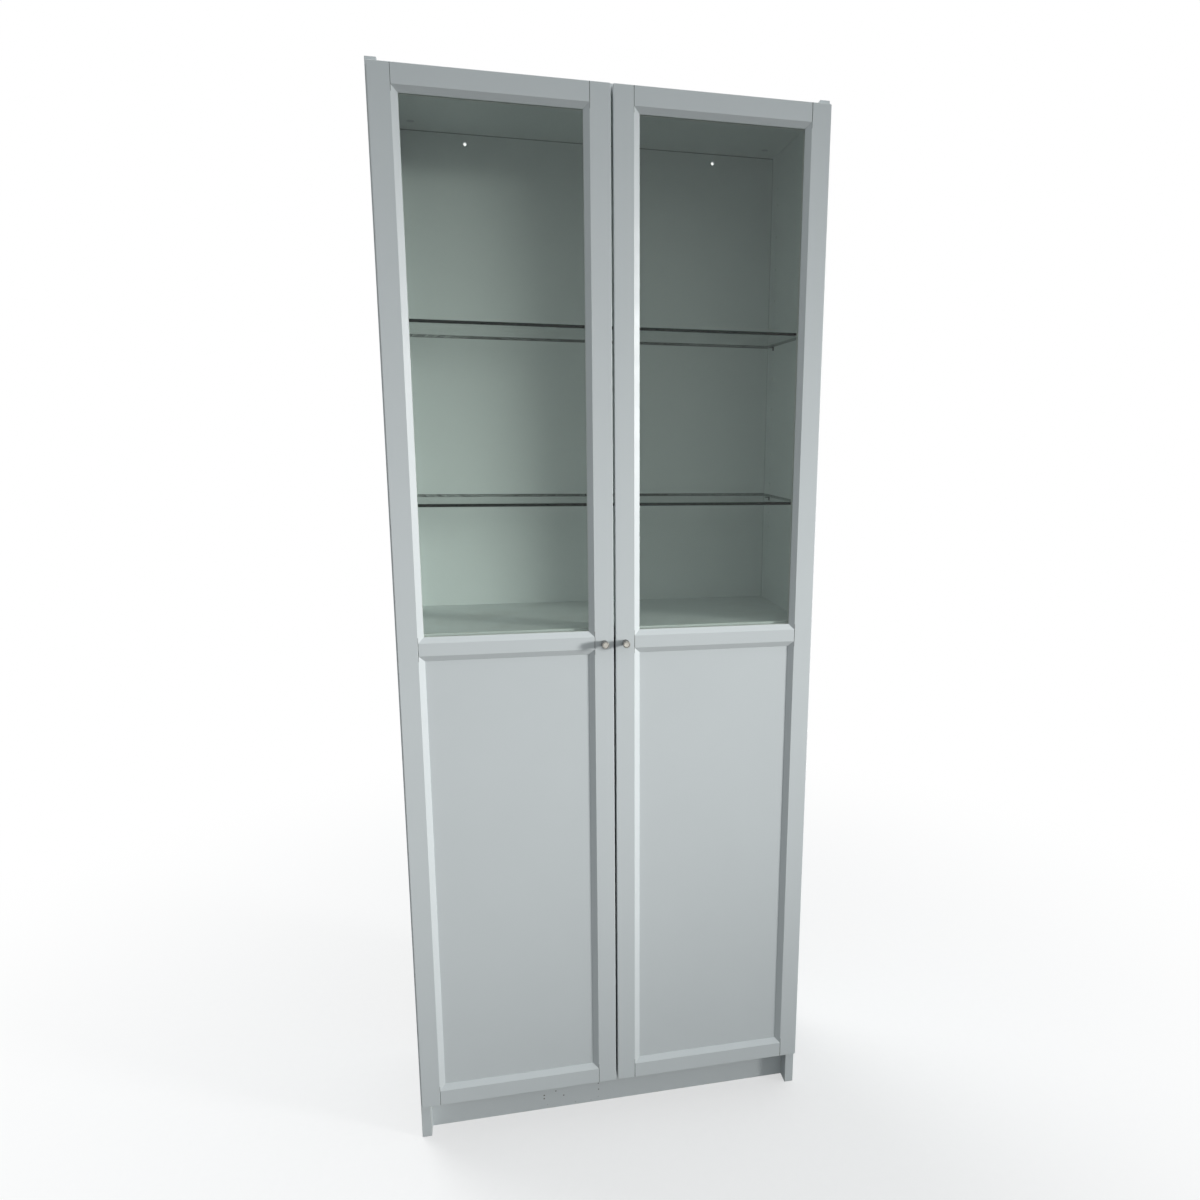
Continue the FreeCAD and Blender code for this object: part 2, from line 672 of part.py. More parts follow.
def shelf_peg():
    """A peg at the left side: pin in the wall, collar, and a tongue under the shelf."""
    pin = rod(
        "PegPin", "pin_radius - fit_gap", "pin_hole_depth - end_gap",
        ("end_gap - pin_hole_depth", "0", "0"), "X",
    )
    collar = box(
        "PegCollar", ("peg_collar", "peg_width", "peg_drop"),
        ("0", "0 - peg_width / 2", "pin_radius - peg_drop"),
    )
    tongue = box(
        "PegTongue", ("peg_reach", "peg_width", "peg_tongue"),
        ("0", "0 - peg_width / 2", "pin_radius - peg_tongue"),
    )
    return fuse("Peg", [pin, collar, tongue])


def peg_places(counts):
    return [(INNER_X, y, pin_height(pitches)) for pitches in counts for y in (PIN_FRONT_Y, PIN_REAR_Y)]


# --------------------------------------------------------------------------- doors
DOOR_ORIGIN = (DOOR_X, DOOR_FRONT_Y, "door_bottom")


def from_edge(meeting, distance):
    """A place across the door, counted from its hinge edge or its meeting edge."""
    return f"({DOOR_WIDTH} - ({distance}))" if meeting else f"({distance})"


def rail_zones():
    """Lower and upper limit of each rail's flat face, and whether a bevel is below and above."""
    return [
        ("0", "bottom_rail_flat", False, True),
        ("middle_rail_rise", MIDDLE_RAIL_TOP, True, True),
        (TOP_RAIL_LOW, "door_height", True, False),
    ]


def stile(name, meeting):
    """A full-height frame member, notched where the rails butt against it."""
    body = new_body(name, DOOR_ORIGIN)

    def u(distance):
        return from_edge(meeting, distance)

    section = [
        (u("0"), "0"), (u("frame_flat"), "0"), (u(FRAME_WIDTH), "bevel_depth"),
        (u(FRAME_WIDTH), "pane_setback"), (u(f"{FRAME_WIDTH} - rabbet_width"), "pane_setback"),
        (u(f"{FRAME_WIDTH} - rabbet_width"), "door_thickness"), (u("0"), "door_thickness"),
    ]
    bar = pad(body, polygon(body, "XY_Plane", section), "door_height")
    door_width = value("cabinet_width") / 2 - value("meeting_gap") / 2 - value("door_reveal")
    edge = door_width if meeting else 0.0
    height = value("door_height")

    def outer_corner(middle, direction):
        return near(abs(direction.y), 1) and near(middle.x, edge)

    def front_rim(middle, direction):
        at_front = near(middle.y, 0)
        on_edge = near(middle.x, edge) and near(abs(direction.z), 1)
        on_end = (near(middle.z, 0) or near(middle.z, height)) and near(abs(direction.x), 1)
        on_arc = at_front and not near(abs(direction.x), 1) and not near(abs(direction.z), 1)
        return at_front and (on_edge or on_end or on_arc)

    rounded = round_edges(body, bar, outer_corner, "corner_radius")
    round_edges(body, rounded, front_rim, "edge_radius")

    for low, high, below, above in rail_zones():
        far = f"{FRAME_WIDTH} + overrun"
        run = "(bevel_width + overrun)"
        bottom = f"{low} - {run}" if below else f"{low} - overrun"
        top = f"{high} + {run}" if above else f"{high} + overrun"
        notch = [(u("frame_flat"), low if below else bottom), (u(far), bottom)]
        notch += [(u(far), top), (u("frame_flat"), high if above else top)]
        pocket(body, polygon(body, "XZ_Plane", notch))
        eased = [
            (u("frame_flat - joint_groove"), "0 - joint_groove / 2"),
            (u("frame_flat + joint_groove"), "0 - joint_groove / 2"),
            (u("frame_flat + joint_groove"), "joint_groove"),
            (u("frame_flat"), "joint_groove"),
            (u("frame_flat - joint_groove"), "0"),
        ]
        pocket(body, polygon(body, "XY_Plane", eased, low), f"{high} - {low}", reverse=True)

    dowel_levels = [f"({low} + {high}) / 2" for low, high, below, above in rail_zones()]
    dowels = circles(
        body, "YZ_Plane", [("door_thickness / 2", z) for z in dowel_levels],
        "frame_dowel_radius", u("frame_flat"),
    )
    pocket(body, dowels, "frame_dowel_in_stile", reverse=meeting)
    return body


def hinge_stile():
    """The outer stile, bored for the hinge cups and their screws."""
    body = stile("HingeStile", meeting=False)
    low = "pin_base_height + pin_pitch / 2 - door_bottom"
    run = "hinge_step_count * pin_pitch * (hinge_count - 1)"
    cup = circles(
        body, "XZ_Plane", [("cup_inset", low)], "cup_radius + cup_bore_play", "0 - door_thickness"
    )
    bore = pocket(body, cup, "cup_depth + cup_bore_extra", reverse=True)
    row_of(body, bore, run, "hinge_count")
    screws = circles(
        body, "XZ_Plane",
        [("cup_inset + wing_inset", f"{low} + ({side}) * wing_screw_offset") for side in ("-1", "1")],
        "cup_screw_radius", "0 - door_thickness",
    )
    pilot = pocket(body, screws, "cup_screw_length", reverse=True)
    row_of(body, pilot, run, "hinge_count")
    return body


def meeting_stile():
    """The stile beside the other door, drilled for the knob's screw."""
    body = stile("MeetingStile", meeting=True)
    knob = circles(body, "XZ_Plane", [(knob_place(), KNOB_HEIGHT)], "knob_screw_radius + 2 * fit_gap")
    pocket(body, knob)
    return body


def knob_place():
    return f"({DOOR_WIDTH} - frame_flat / 2)"


def rail(name, low, high, below, above):
    """A cross member between the stiles, bevelled towards the panes, with mitred bevels."""
    body = new_body(name, DOOR_ORIGIN)
    step = "bevel_width - rabbet_width"
    section = [("0", low)]
    if below:
        section += [
            ("bevel_depth", f"{low} - bevel_width"), ("pane_setback", f"{low} - bevel_width"),
            ("pane_setback", f"{low} - ({step})"), ("door_thickness", f"{low} - ({step})"),
        ]
    else:
        section += [("door_thickness", low)]
    if above:
        section += [
            ("door_thickness", f"{high} + {step}"), ("pane_setback", f"{high} + {step}"),
            ("pane_setback", f"{high} + bevel_width"), ("bevel_depth", f"{high} + bevel_width"),
        ]
    else:
        section += [("door_thickness", high)]
    section += [("0", high)]
    length = f"({DOOR_WIDTH} - 2 * frame_flat)"
    bar = pad(body, polygon(body, "YZ_Plane", section, "frame_flat"), length)
    height = value("door_height")

    def outer_rim(middle, direction):
        at_end = near(middle.z, 0) or near(middle.z, height)
        return near(middle.y, 0) and at_end and near(abs(direction.x), 1)

    if not (below and above):
        round_edges(body, bar, outer_rim, "edge_radius")
    reach = "(bevel_width + overrun)"
    for meeting in (False, True):
        inner = from_edge(meeting, "frame_flat")
        outer = from_edge(meeting, "frame_flat - overrun")
        tip = from_edge(meeting, f"frame_flat + {reach}")
        mitred = [(low, f"{low} - {reach}")] if below else []
        mitred += [(high, f"{high} + {reach}")] if above else []
        for near_end, far_end in mitred:
            corner = [(inner, near_end), (tip, far_end), (outer, far_end), (outer, near_end)]
            pocket(body, polygon(body, "XZ_Plane", corner))
        eased = [
            (from_edge(meeting, "frame_flat + joint_groove"), "0"),
            (inner, "joint_groove"),
            (from_edge(meeting, "frame_flat - joint_groove"), "joint_groove"),
            (from_edge(meeting, "frame_flat - joint_groove"), "0 - joint_groove"),
            (from_edge(meeting, "frame_flat + joint_groove"), "0 - joint_groove"),
        ]
        pocket(body, polygon(body, "XY_Plane", eased, low), f"{high} - {low}", reverse=True)
        hole = circles(
            body, "YZ_Plane", [("door_thickness / 2", f"({low} + {high}) / 2")],
            "frame_dowel_radius", inner,
        )
        pocket(body, hole, "frame_dowel_in_rail", reverse=not meeting)
    return body


def frame_dowels():
    length = "frame_dowel_in_stile + frame_dowel_in_rail - 2 * end_gap"
    left = f"{DOOR_X} + frame_flat - frame_dowel_in_stile + end_gap"
    right = f"{DOOR_X} + {DOOR_WIDTH} - frame_flat - frame_dowel_in_rail + end_gap"
    places = []
    for low, high, below, above in rail_zones():
        level = f"door_bottom + ({low} + {high}) / 2"
        depth = f"{DOOR_FRONT_Y} + door_thickness / 2"
        places.append((left, depth, level))
        places.append((right, depth, level))
    dowel = rod("FrameDowel", "frame_dowel_radius - fit_gap", length, ("0", "0", "0"), "X")
    return copies("FrameDowels", dowel, places)


def opening(which):
    """Lower and upper limit of an opening in the frame."""
    if which == "glass":
        return f"({MIDDLE_RAIL_TOP} + bevel_width)", f"({TOP_RAIL_LOW} - bevel_width)"
    return "(bottom_rail_flat + bevel_width)", "(middle_rail_rise - bevel_width)"


def pane(name, which):
    """The sheet that fills an opening, with play all round in its seat."""
    low, high = opening(which)
    lap = "(rabbet_width - pane_play)"
    width = f"{DOOR_WIDTH} - 2 * {FRAME_WIDTH} + 2 * {lap}"
    height = f"{high} - {low} + 2 * {lap}"
    front = f"{DOOR_FRONT_Y} + pane_setback"
    return box(
        name, (width, "pane_thickness", height),
        (f"{DOOR_X} + {FRAME_WIDTH} - {lap}", front, f"door_bottom + {low} - {lap}"),
    )


def beads(name, which):
    """Four strips behind a pane, the upright ones between the level ones."""
    low, high = opening(which)
    depth = "(door_thickness - pane_setback - pane_thickness)"
    width = "(rabbet_width - bead_play)"
    across = f"({DOOR_WIDTH} - 2 * {FRAME_WIDTH} + 2 * {width})"
    left = f"({DOOR_X} + {FRAME_WIDTH} - {width})"
    right = f"({DOOR_X} + {DOOR_WIDTH} - {FRAME_WIDTH})"
    front = f"({DOOR_FRONT_Y} + pane_setback + pane_thickness)"
    strips = [
        box(name + "Low", (across, depth, width), (left, front, f"door_bottom + {low} - {width}")),
        box(name + "High", (across, depth, width), (left, front, f"door_bottom + {high}")),
        box(name + "Left", (width, depth, f"{high} - {low}"), (left, front, f"door_bottom + {low}")),
        box(name + "Right", (width, depth, f"{high} - {low}"), (right, front, f"door_bottom + {low}")),
    ]
    return group(name, strips)


def knob():
    """A turned knob, revolved about its own axis, which points away from the door."""
    height = f"door_bottom + {KNOB_HEIGHT}"
    body = new_body("Knob", (f"{DOOR_X} + {knob_place()}", DOOR_FRONT_Y, height))
    shoulder = "(knob_reach - knob_head)"
    hole = "(knob_screw_radius + fit_gap)"
    section = [
        (hole, "0"), ("knob_neck_radius", "0"), ("knob_neck_radius", f"0 - {shoulder} + knob_slope"),
        ("knob_radius", f"0 - {shoulder}"), ("knob_radius", "0 - knob_reach"),
        ("knob_dish_radius + knob_dish", "0 - knob_reach"), ("knob_dish_radius", "knob_dish - knob_reach"),
        ("0", "knob_dish - knob_reach"),
        ("0", "0 - knob_screw_in_knob - tip_gap"), (hole, "0 - knob_screw_in_knob - tip_gap"),
    ]
    turned = body.newObject("PartDesign::Revolution", "KnobTurned")
    turned.Profile = polygon(body, "XY_Plane", section)
    turned.ReferenceAxis = (origin_plane(body, "Y_Axis"), [""])
    turned.Angle = 360
    reach = value("knob_reach")
    radius = value("knob_radius")

    def front_rim(middle, direction):
        return near(middle.y, -reach) and near(math.hypot(middle.x, middle.z), radius)

    round_edges(body, turned, front_rim, "knob_rounding")
    return body


def knob_screw():
    x = f"{DOOR_X} + {knob_place()}"
    z = f"door_bottom + {KNOB_HEIGHT}"
    shank = rod(
        "KnobShank", "knob_screw_radius", "door_thickness + knob_screw_in_knob",
        (x, f"{DOOR_FRONT_Y} - knob_screw_in_knob", z), "Y",
    )
    head = rod("KnobScrewHead", "knob_screw_head_radius", "knob_screw_head", (x, DOOR_BACK_Y, z), "Y")
    return fuse("KnobScrew", [shank, head])


def bumpers():
    pad_disc = rod("Bumper", "bumper_radius", "bumper_thickness", ("0", "0", "0"), "Y")
    x = f"{DOOR_X} + {DOOR_WIDTH} - bumper_inset"
    low = "plinth_height + board_thickness / 2"
    high = f"({TOP_UNDERSIDE} + door_bottom + door_height) / 2"
    return copies("Bumpers", pad_disc, [(x, DOOR_BACK_Y, low), (x, DOOR_BACK_Y, high)])


# -------------------------------------------------------------------------- hinges
# A hinge is drawn round its own origin: x from the side panel's outer face inwards,
# y from the closed door's back towards the cabinet's back, z from the hinge's middle.
CUP_X = "(door_reveal + cup_inset)"
PLATE_Y = "(door_gap + pin_front_inset)"


def at_hinges(name, source):
    places = []
    for number in range(int(value("hinge_count"))):
        height = f"pin_base_height + pin_pitch / 2 + {number} * hinge_step_count * pin_pitch"
        places.append((OUTER_X, DOOR_BACK_Y, height))
    return copies(name, source, places)


def hinge_cup():
    """Pressed cup with a rim and a screw flange on the door's back."""
    shell = rod("CupShell", "cup_radius", "cup_depth", (CUP_X, "0 - cup_depth", "0"), "Y")
    rim = rod("CupRim", "cup_radius + cup_rim", "cup_flange", (CUP_X, "0", "0"), "Y")
    wing = box(
        "CupWing", ("wing_width", "cup_flange", "2 * (wing_screw_offset + wing_end)"),
        (f"{CUP_X} + wing_inset - wing_width / 2", "0", "0 - wing_screw_offset - wing_end"),
    )
    hollow = rod(
        "CupHollow", "cup_radius - cup_wall", "cup_depth + cup_flange",
        (CUP_X, "cup_wall - cup_depth", "0"), "Y",
    )
    pin_hole = rod(
        "CupPinHole", "pivot_pin_radius + fit_gap", "2 * cup_radius",
        ("cup_pivot_inset", "0 - cup_pivot_depth", "0 - cup_radius"), "Z",
    )
    holes = [
        rod(f"CupScrewHole{i}", "cup_screw_radius + fit_gap", "cup_flange + 2 * overrun",
            (f"{CUP_X} + wing_inset", "0 - overrun", f"({side}) * wing_screw_offset"), "Y")
        for i, side in enumerate(("-1", "1"))
    ]
    return cut("Cup", fuse("CupPressing", [shell, rim, wing]), [hollow, pin_hole] + holes)


def hinge_cup_screws():
    screws = []
    for i, side in enumerate(("-1", "1")):
        across = f"{CUP_X} + wing_inset"
        level = f"({side}) * wing_screw_offset"
        shank = rod(
            f"CupScrewShank{i}", "cup_screw_radius - fit_gap", "cup_screw_length + cup_flange - tip_gap",
            (across, "tip_gap - cup_screw_length", level), "Y",
        )
        head = rod(
            f"CupScrewHead{i}", "cup_screw_head_radius", "cup_screw_head",
            (across, "cup_flange", level), "Y",
        )
        screws.append(fuse(f"CupScrew{i}", [shank, head]))
    return group("CupScrews", screws)


def hinge_link():
    """The bent link that carries the door: a sector of a ring with an eye at each pivot.

    It is drawn along the line from the arm's pivot to the cup's and then turned into place.
    """
    across = "(cup_pivot_inset - arm_pivot_inset)"
    along = "(0 - cup_pivot_depth - arm_pivot_setback)"
    span = f"(sqrt({across} ^ 2 + {along} ^ 2))"
    bend = f"(({span} ^ 2 / 4 + link_rise ^ 2) / (2 * link_rise))"
    centre_y = f"(link_rise - {bend})"
    middle = f"({span} / 2)"
    low = "(0 - link_height / 2)"
    outer = f"({bend} + link_thickness / 2)"
    inner = f"({bend} - link_thickness / 2)"

    ring = rod("LinkRing", outer, "link_height", (middle, centre_y, low), "Z")
    inside = rod("LinkInside", inner, "link_height", (middle, centre_y, low), "Z")
    behind = box(
        "LinkBehind", (f"2 * {outer}", f"2 * {outer}", "link_height"),
        (f"{middle} - {outer}", f"0 - 2 * {outer}", low),
    )
    eyes = [
        rod(f"LinkEye{i}", "eye_radius", "link_height", (x, "0", low), "Z")
        for i, x in enumerate(("0", span))
    ]
    bores = [
        rod(f"LinkBore{i}", "pivot_pin_radius + fit_gap", "link_height", (x, "0", low), "Z")
        for i, x in enumerate(("0", span))
    ]
    link = cut("Link", fuse("LinkBlank", [cut("LinkArc", ring, [inside, behind])] + eyes), bores)
    place(link, ("arm_pivot_inset", "arm_pivot_setback", "0"))
    bind(link, "Placement.Rotation.Angle", f"atan2({along}; {across})")
    return link


def pivot_pin(name, x, y, half_length):
    return rod(name, "pivot_pin_radius", f"2 * ({half_length})", (x, y, f"0 - ({half_length})"), "Z")


def hinge_arm():
    """A channel of pressed steel, open towards the side panel and at its nose."""
    body = new_body("Arm", ("0", "0", "0"))
    floor = "(side_thickness + plate_thickness + arm_plate_gap)"
    low = "(side_thickness + arm_low)"
    nose_x = "arm_pivot_inset"
    nose_y = "arm_pivot_setback"
    rear = f"({nose_y} + arm_length)"
    shoulder = f"({nose_y} + arm_shoulder)"
    outline = [
        (f"{nose_x} - arm_nose", f"{nose_y} - arm_nose"), (f"{nose_x} + arm_nose", f"{nose_y} - arm_nose"),
        (f"{nose_x} + arm_nose", f"{nose_y} + arm_nose"), (low, shoulder), (low, rear), (floor, rear),
        (floor, f"{nose_y} + arm_foot"), (f"{nose_x} - arm_nose", f"{nose_y} + arm_nose"),
    ]
    shape = pad(body, polygon(body, "XY_Plane", outline), "arm_height", symmetric=True)

    def nose_corner(middle, direction):
        return near(abs(direction.z), 1) and middle.y < value("arm_pivot_setback")

    round_edges(body, shape, nose_corner, "arm_nose_rounding")
    channel = [
        (f"{nose_x} - 2 * arm_nose", f"{nose_y} - 2 * arm_nose"),
        (f"{nose_x} + 2 * arm_nose", f"{nose_y} - 2 * arm_nose"),
        (f"{nose_x} + 2 * arm_nose", f"{nose_y} + arm_nose"),
        (f"{nose_x} + arm_nose - arm_wall", f"{nose_y} + arm_nose + arm_bend_shift"),
        (f"{low} - arm_wall", f"{shoulder} - arm_bend_shift"),
        (f"{low} - arm_wall", f"{rear} + overrun"),
        (f"{floor} - overrun", f"{rear} + overrun"),
        (f"{floor} - overrun", f"{nose_y} - 2 * arm_nose"),
    ]
    pocket(body, polygon(body, "XY_Plane", channel), "arm_height - 2 * arm_wall", symmetric=True)
    pin_hole = circles(body, "XY_Plane", [(nose_x, nose_y)], "pivot_pin_radius + fit_gap")
    pocket(body, pin_hole, symmetric=True)
    screw_hole = circles(
        body, "YZ_Plane", [(arm_screw_place(), "0")], "arm_screw_radius + fit_gap", f"{low} + overrun"
    )
    pocket(body, screw_hole, "arm_wall + 2 * overrun")
    return body


def arm_screw_place():
    return "(arm_pivot_setback + (arm_shoulder + arm_length) / 2)"


def hinge_plate():
    """Mounting plate with two screw wings and a raised block under the arm."""
    face = "side_thickness"
    base = box(
        "PlateBase", ("plate_thickness", "plate_length", "plate_width"),
        (face, f"{PLATE_Y} - plate_wing_length", "0 - plate_width / 2"),
    )
    wings = box(
        "PlateWings", ("plate_thickness", "plate_wing_length", "plate_wing_height"),
        (face, f"{PLATE_Y} - plate_wing_length / 2", "0 - plate_wing_height / 2"),
    )
    riser = box(
        "PlateRiser",
        ("arm_low - arm_wall", "riser_length", "arm_height - 2 * arm_wall - 2 * arm_plate_gap"),
        (face, f"{arm_screw_place()} - riser_length / 2", "arm_plate_gap + arm_wall - arm_height / 2"),
    )
    holes = [
        rod(f"PlateHole{i}", "pin_radius + fit_gap", "plate_thickness + 2 * overrun",
            (f"{face} - overrun", PLATE_Y, f"({side}) * pin_pitch / 2"), "X")
        for i, side in enumerate(("-1", "1"))
    ]
    thread = rod(
        "PlateThread", "arm_screw_radius + fit_gap", "arm_low",
        (f"{face} + plate_thickness", arm_screw_place(), "0"), "X",
    )
    return cut("Plate", fuse("PlatePressing", [base, wings, riser]), holes + [thread])


def hinge_plate_screws():
    screws = []
    for i, side in enumerate(("-1", "1")):
        level = f"({side}) * pin_pitch / 2"
        shank = rod(
            f"PlateShank{i}", "pin_radius - fit_gap", "pin_hole_depth - end_gap + plate_thickness",
            ("side_thickness + end_gap - pin_hole_depth", PLATE_Y, level), "X",
        )
        head = rod(
            f"PlateScrewHead{i}", "plate_screw_head_radius", "plate_screw_head",
            ("side_thickness + plate_thickness", PLATE_Y, level), "X",
        )
        screws.append(fuse(f"PlateScrew{i}", [shank, head]))
    return group("PlateScrews", screws)


def hinge_arm_screw():
    shank = rod(
        "ArmShank", "arm_screw_radius", "arm_low - plate_thickness - tip_gap",
        ("side_thickness + plate_thickness + tip_gap", arm_screw_place(), "0"), "X",
    )
    head = rod(
        "ArmScrewHead", "arm_screw_head_radius", "arm_screw_head",
        ("side_thickness + arm_low", arm_screw_place(), "0"), "X",
    )
    return fuse("ArmScrew", [shank, head])


# ------------------------------------------------------------------------ assembly
def build_carcass():
    left_side = keep(side_panel(), "side_panel_left")
    keep(mirrored("SidePanelRight", left_side), "side_panel_right")
    keep(fixed_board("TopPanel", TOP_UNDERSIDE), "top_panel")
    keep(fixed_board("MiddleShelf", MIDDLE_UNDERSIDE), "middle_shelf")
    keep(fixed_board("BottomShelf", "plinth_height"), "bottom_shelf")
    keep(plinth(), "plinth")
    left_back = keep(back_half(), "back_panel_left")
    keep(mirrored("BackHalfRight", left_back), "back_panel_right")
    keep(back_tape(), "back_panel_tape")
    keep(nail_group(), "back_panel_nails")
    end_joints()
    wall_brackets()


def build_shelves():
    keep(loose_shelf("GlassLow", "glass_low_count", "glass_shelf_thickness"), "glass_shelf_lower")
    keep(loose_shelf("GlassHigh", "glass_high_count", "glass_shelf_thickness"), "glass_shelf_upper")
    keep(loose_shelf("BoardLow", "board_low_count", "board_thickness"), "adjustable_shelf_lower")
    keep(loose_shelf("BoardHigh", "board_high_count", "board_thickness"), "adjustable_shelf_upper")
    peg = shelf_peg()
    glass_pegs = copies("GlassPegsLeft", peg, peg_places(["glass_low_count", "glass_high_count"]))
    keep(both_sides("GlassPegs", glass_pegs), "glass_shelf_pegs")
    board_pegs = copies("BoardPegsLeft", peg, peg_places(["board_low_count", "board_high_count"]))
    keep(both_sides("BoardPegs", board_pegs), "adjustable_shelf_pegs")


def build_fixed_hinge_parts():
    keep(both_sides("Plates", at_hinges("PlatesLeft", hinge_plate())), "hinge_plates")
    plate_screws = at_hinges("PlateScrewsLeft", hinge_plate_screws())
    keep(both_sides("PlateScrewsAll", plate_screws), "hinge_plate_screws")
    keep(both_sides("Arms", at_hinges("ArmsLeft", hinge_arm())), "hinge_arms")
    keep(both_sides("ArmScrews", at_hinges("ArmScrewsLeft", hinge_arm_screw())), "hinge_arm_screws")
    pin = pivot_pin("ArmPin", "arm_pivot_inset", "arm_pivot_setback", "arm_height / 2")
    keep(both_sides("ArmPins", at_hinges("ArmPinsLeft", pin)), "hinge_arm_pins")


def keep_pair(source, label):
    """Keep a piece of the left door and its mirror image in the right door."""
    keep(source, "left_" + label)
    keep(mirrored(source.Name + "_right", source), "right_" + label)


def build_doors():
    keep_pair(at_hinges("Links", hinge_link()), "hinge_links")
    keep_pair(hinge_stile(), "door_hinge_stile")
    keep_pair(meeting_stile(), "door_meeting_stile")
    labels = ("door_bottom_rail", "door_middle_rail", "door_top_rail")
    for label, zone in zip(labels, rail_zones()):
        keep_pair(rail(label.title().replace("_", ""), *zone), label)
    keep_pair(frame_dowels(), "door_frame_dowels")
    keep_pair(pane("GlassPane", "glass"), "door_glass")
    keep_pair(pane("LowerPanel", "panel"), "door_panel")
    keep_pair(beads("GlassBeads", "glass"), "door_glass_beads")
    keep_pair(beads("PanelBeads", "panel"), "door_panel_beads")
    keep_pair(at_hinges("Cups", hinge_cup()), "door_hinge_cups")
    keep_pair(at_hinges("CupScrewsAll", hinge_cup_screws()), "door_cup_screws")
    cup_pin = pivot_pin("CupPin", "cup_pivot_inset", "0 - cup_pivot_depth", "cup_pin_half")
    keep_pair(at_hinges("CupPins", cup_pin), "door_cup_pins")
    keep_pair(knob(), "door_knob")
    keep_pair(knob_screw(), "door_knob_screw")
    keep_pair(bumpers(), "door_bumpers")


def check_document():
    """Stop if any object failed or any sub-part has no sound shape."""
    for thing in document.Objects:
        if "Invalid" in thing.State or "Error" in thing.State:
            raise RuntimeError(f"{thing.Name} ({thing.Label}) did not build: {thing.State}")
    for thing in exported:
        if thing.Shape.isNull() or not thing.Shape.isValid() or not thing.Shape.Solids:
            raise RuntimeError(f"{thing.Label} has no valid solid")


def export_parts():
    os.makedirs("parts", exist_ok=True)
    for thing in exported:
        thing.Shape.exportStep(f"parts/{thing.Label}.step")
        print(f"{thing.Label:28s} {len(thing.Shape.Solids):3d} solids  {thing.Shape.Volume:12.0f} mm3")


sheet = make_sheet()
build_carcass()
build_shelves()
build_fixed_hinge_parts()
build_doors()
document.recompute()
check_document()
export_parts()
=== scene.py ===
import math

import bmesh
import bpy
from bpy.props import FloatProperty, FloatVectorProperty, IntProperty, PointerProperty
from mathutils import Matrix, Vector


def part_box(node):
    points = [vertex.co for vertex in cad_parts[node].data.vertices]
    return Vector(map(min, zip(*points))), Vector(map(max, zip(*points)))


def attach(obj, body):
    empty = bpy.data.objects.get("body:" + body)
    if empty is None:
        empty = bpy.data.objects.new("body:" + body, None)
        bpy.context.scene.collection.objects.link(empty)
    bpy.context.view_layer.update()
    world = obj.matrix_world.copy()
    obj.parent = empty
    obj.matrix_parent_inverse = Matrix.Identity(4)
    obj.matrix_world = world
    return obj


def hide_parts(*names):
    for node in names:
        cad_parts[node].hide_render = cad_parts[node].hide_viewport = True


bl_info = {
    "name": "Bookcase with a Pair of Doors",
    "version": (1, 0, 0),
    "blender": (4, 5, 0),
    "location": "View3D > Sidebar > Bookcase",
    "description": "Finishes a tall bookcase and models its glass, knobs, hinges and fittings",
    "category": "Object",
}

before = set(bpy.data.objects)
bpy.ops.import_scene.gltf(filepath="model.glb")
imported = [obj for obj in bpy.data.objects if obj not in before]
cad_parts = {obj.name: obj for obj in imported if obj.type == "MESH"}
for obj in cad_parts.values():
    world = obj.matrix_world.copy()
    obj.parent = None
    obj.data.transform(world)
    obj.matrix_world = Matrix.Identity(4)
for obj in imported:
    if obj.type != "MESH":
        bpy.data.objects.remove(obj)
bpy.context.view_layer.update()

MM = 0.001
SIDES = {"left": -1, "right": 1}
FRAME_PARTS = ("hinge_stile", "meeting_stile", "bottom_rail", "middle_rail", "top_rail")
OUT = Vector((0, -1, 0))
BACK = Vector((0, 1, 0))
UP = Vector((0, 0, 1))
DOWN = Vector((0, 0, -1))

INNER_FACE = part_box("side_panel_right")[0].x  # side panels' inner faces, across
HARD_EDGE = math.radians(60)  # edges that bend more than this are rims to be rounded

PALE = (0.8, 0.8, 0.8, 1)
# painted shade for the grooves at the door frames' butt joints and the corners where boards meet
# the back
PAINTED_SHADE = (0.11, 0.11, 0.105, 1)
KEY_POWER = 2500.0


# ------------------------------------------------------------------------- settings
class BookcaseSizes(bpy.types.PropertyGroup):
    """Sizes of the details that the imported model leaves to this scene."""

    bead_nose: FloatProperty(
        name="Bead rounding", description="Rounded inner edge of the glazing beads",
        default=2.6 * MM, min=0.0, unit="LENGTH",
    )
    knob_groove: FloatProperty(
        name="Knob groove", description="Turned groove round the knob's end",
        default=0.35 * MM, min=0.0, unit="LENGTH",
    )
    recess_depth: FloatProperty(
        name="Screw recess", description="Depth of the cross recess in the screws' heads",
        default=1.1 * MM, min=0.0, unit="LENGTH",
    )
    pressed_edge: FloatProperty(
        name="Pressed edge", description="Rounded edges of the pressed steel hinge parts",
        default=0.35 * MM, min=0.0, unit="LENGTH",
    )
    bracket_edge: FloatProperty(
        name="Bracket edge", description="Rounded edges of the wall brackets",
        default=0.3 * MM, min=0.0, unit="LENGTH",
    )
    cup_steps: IntProperty(
        name="Cup steps", description="Steps round a hinge cup", default=48, min=12,
    )


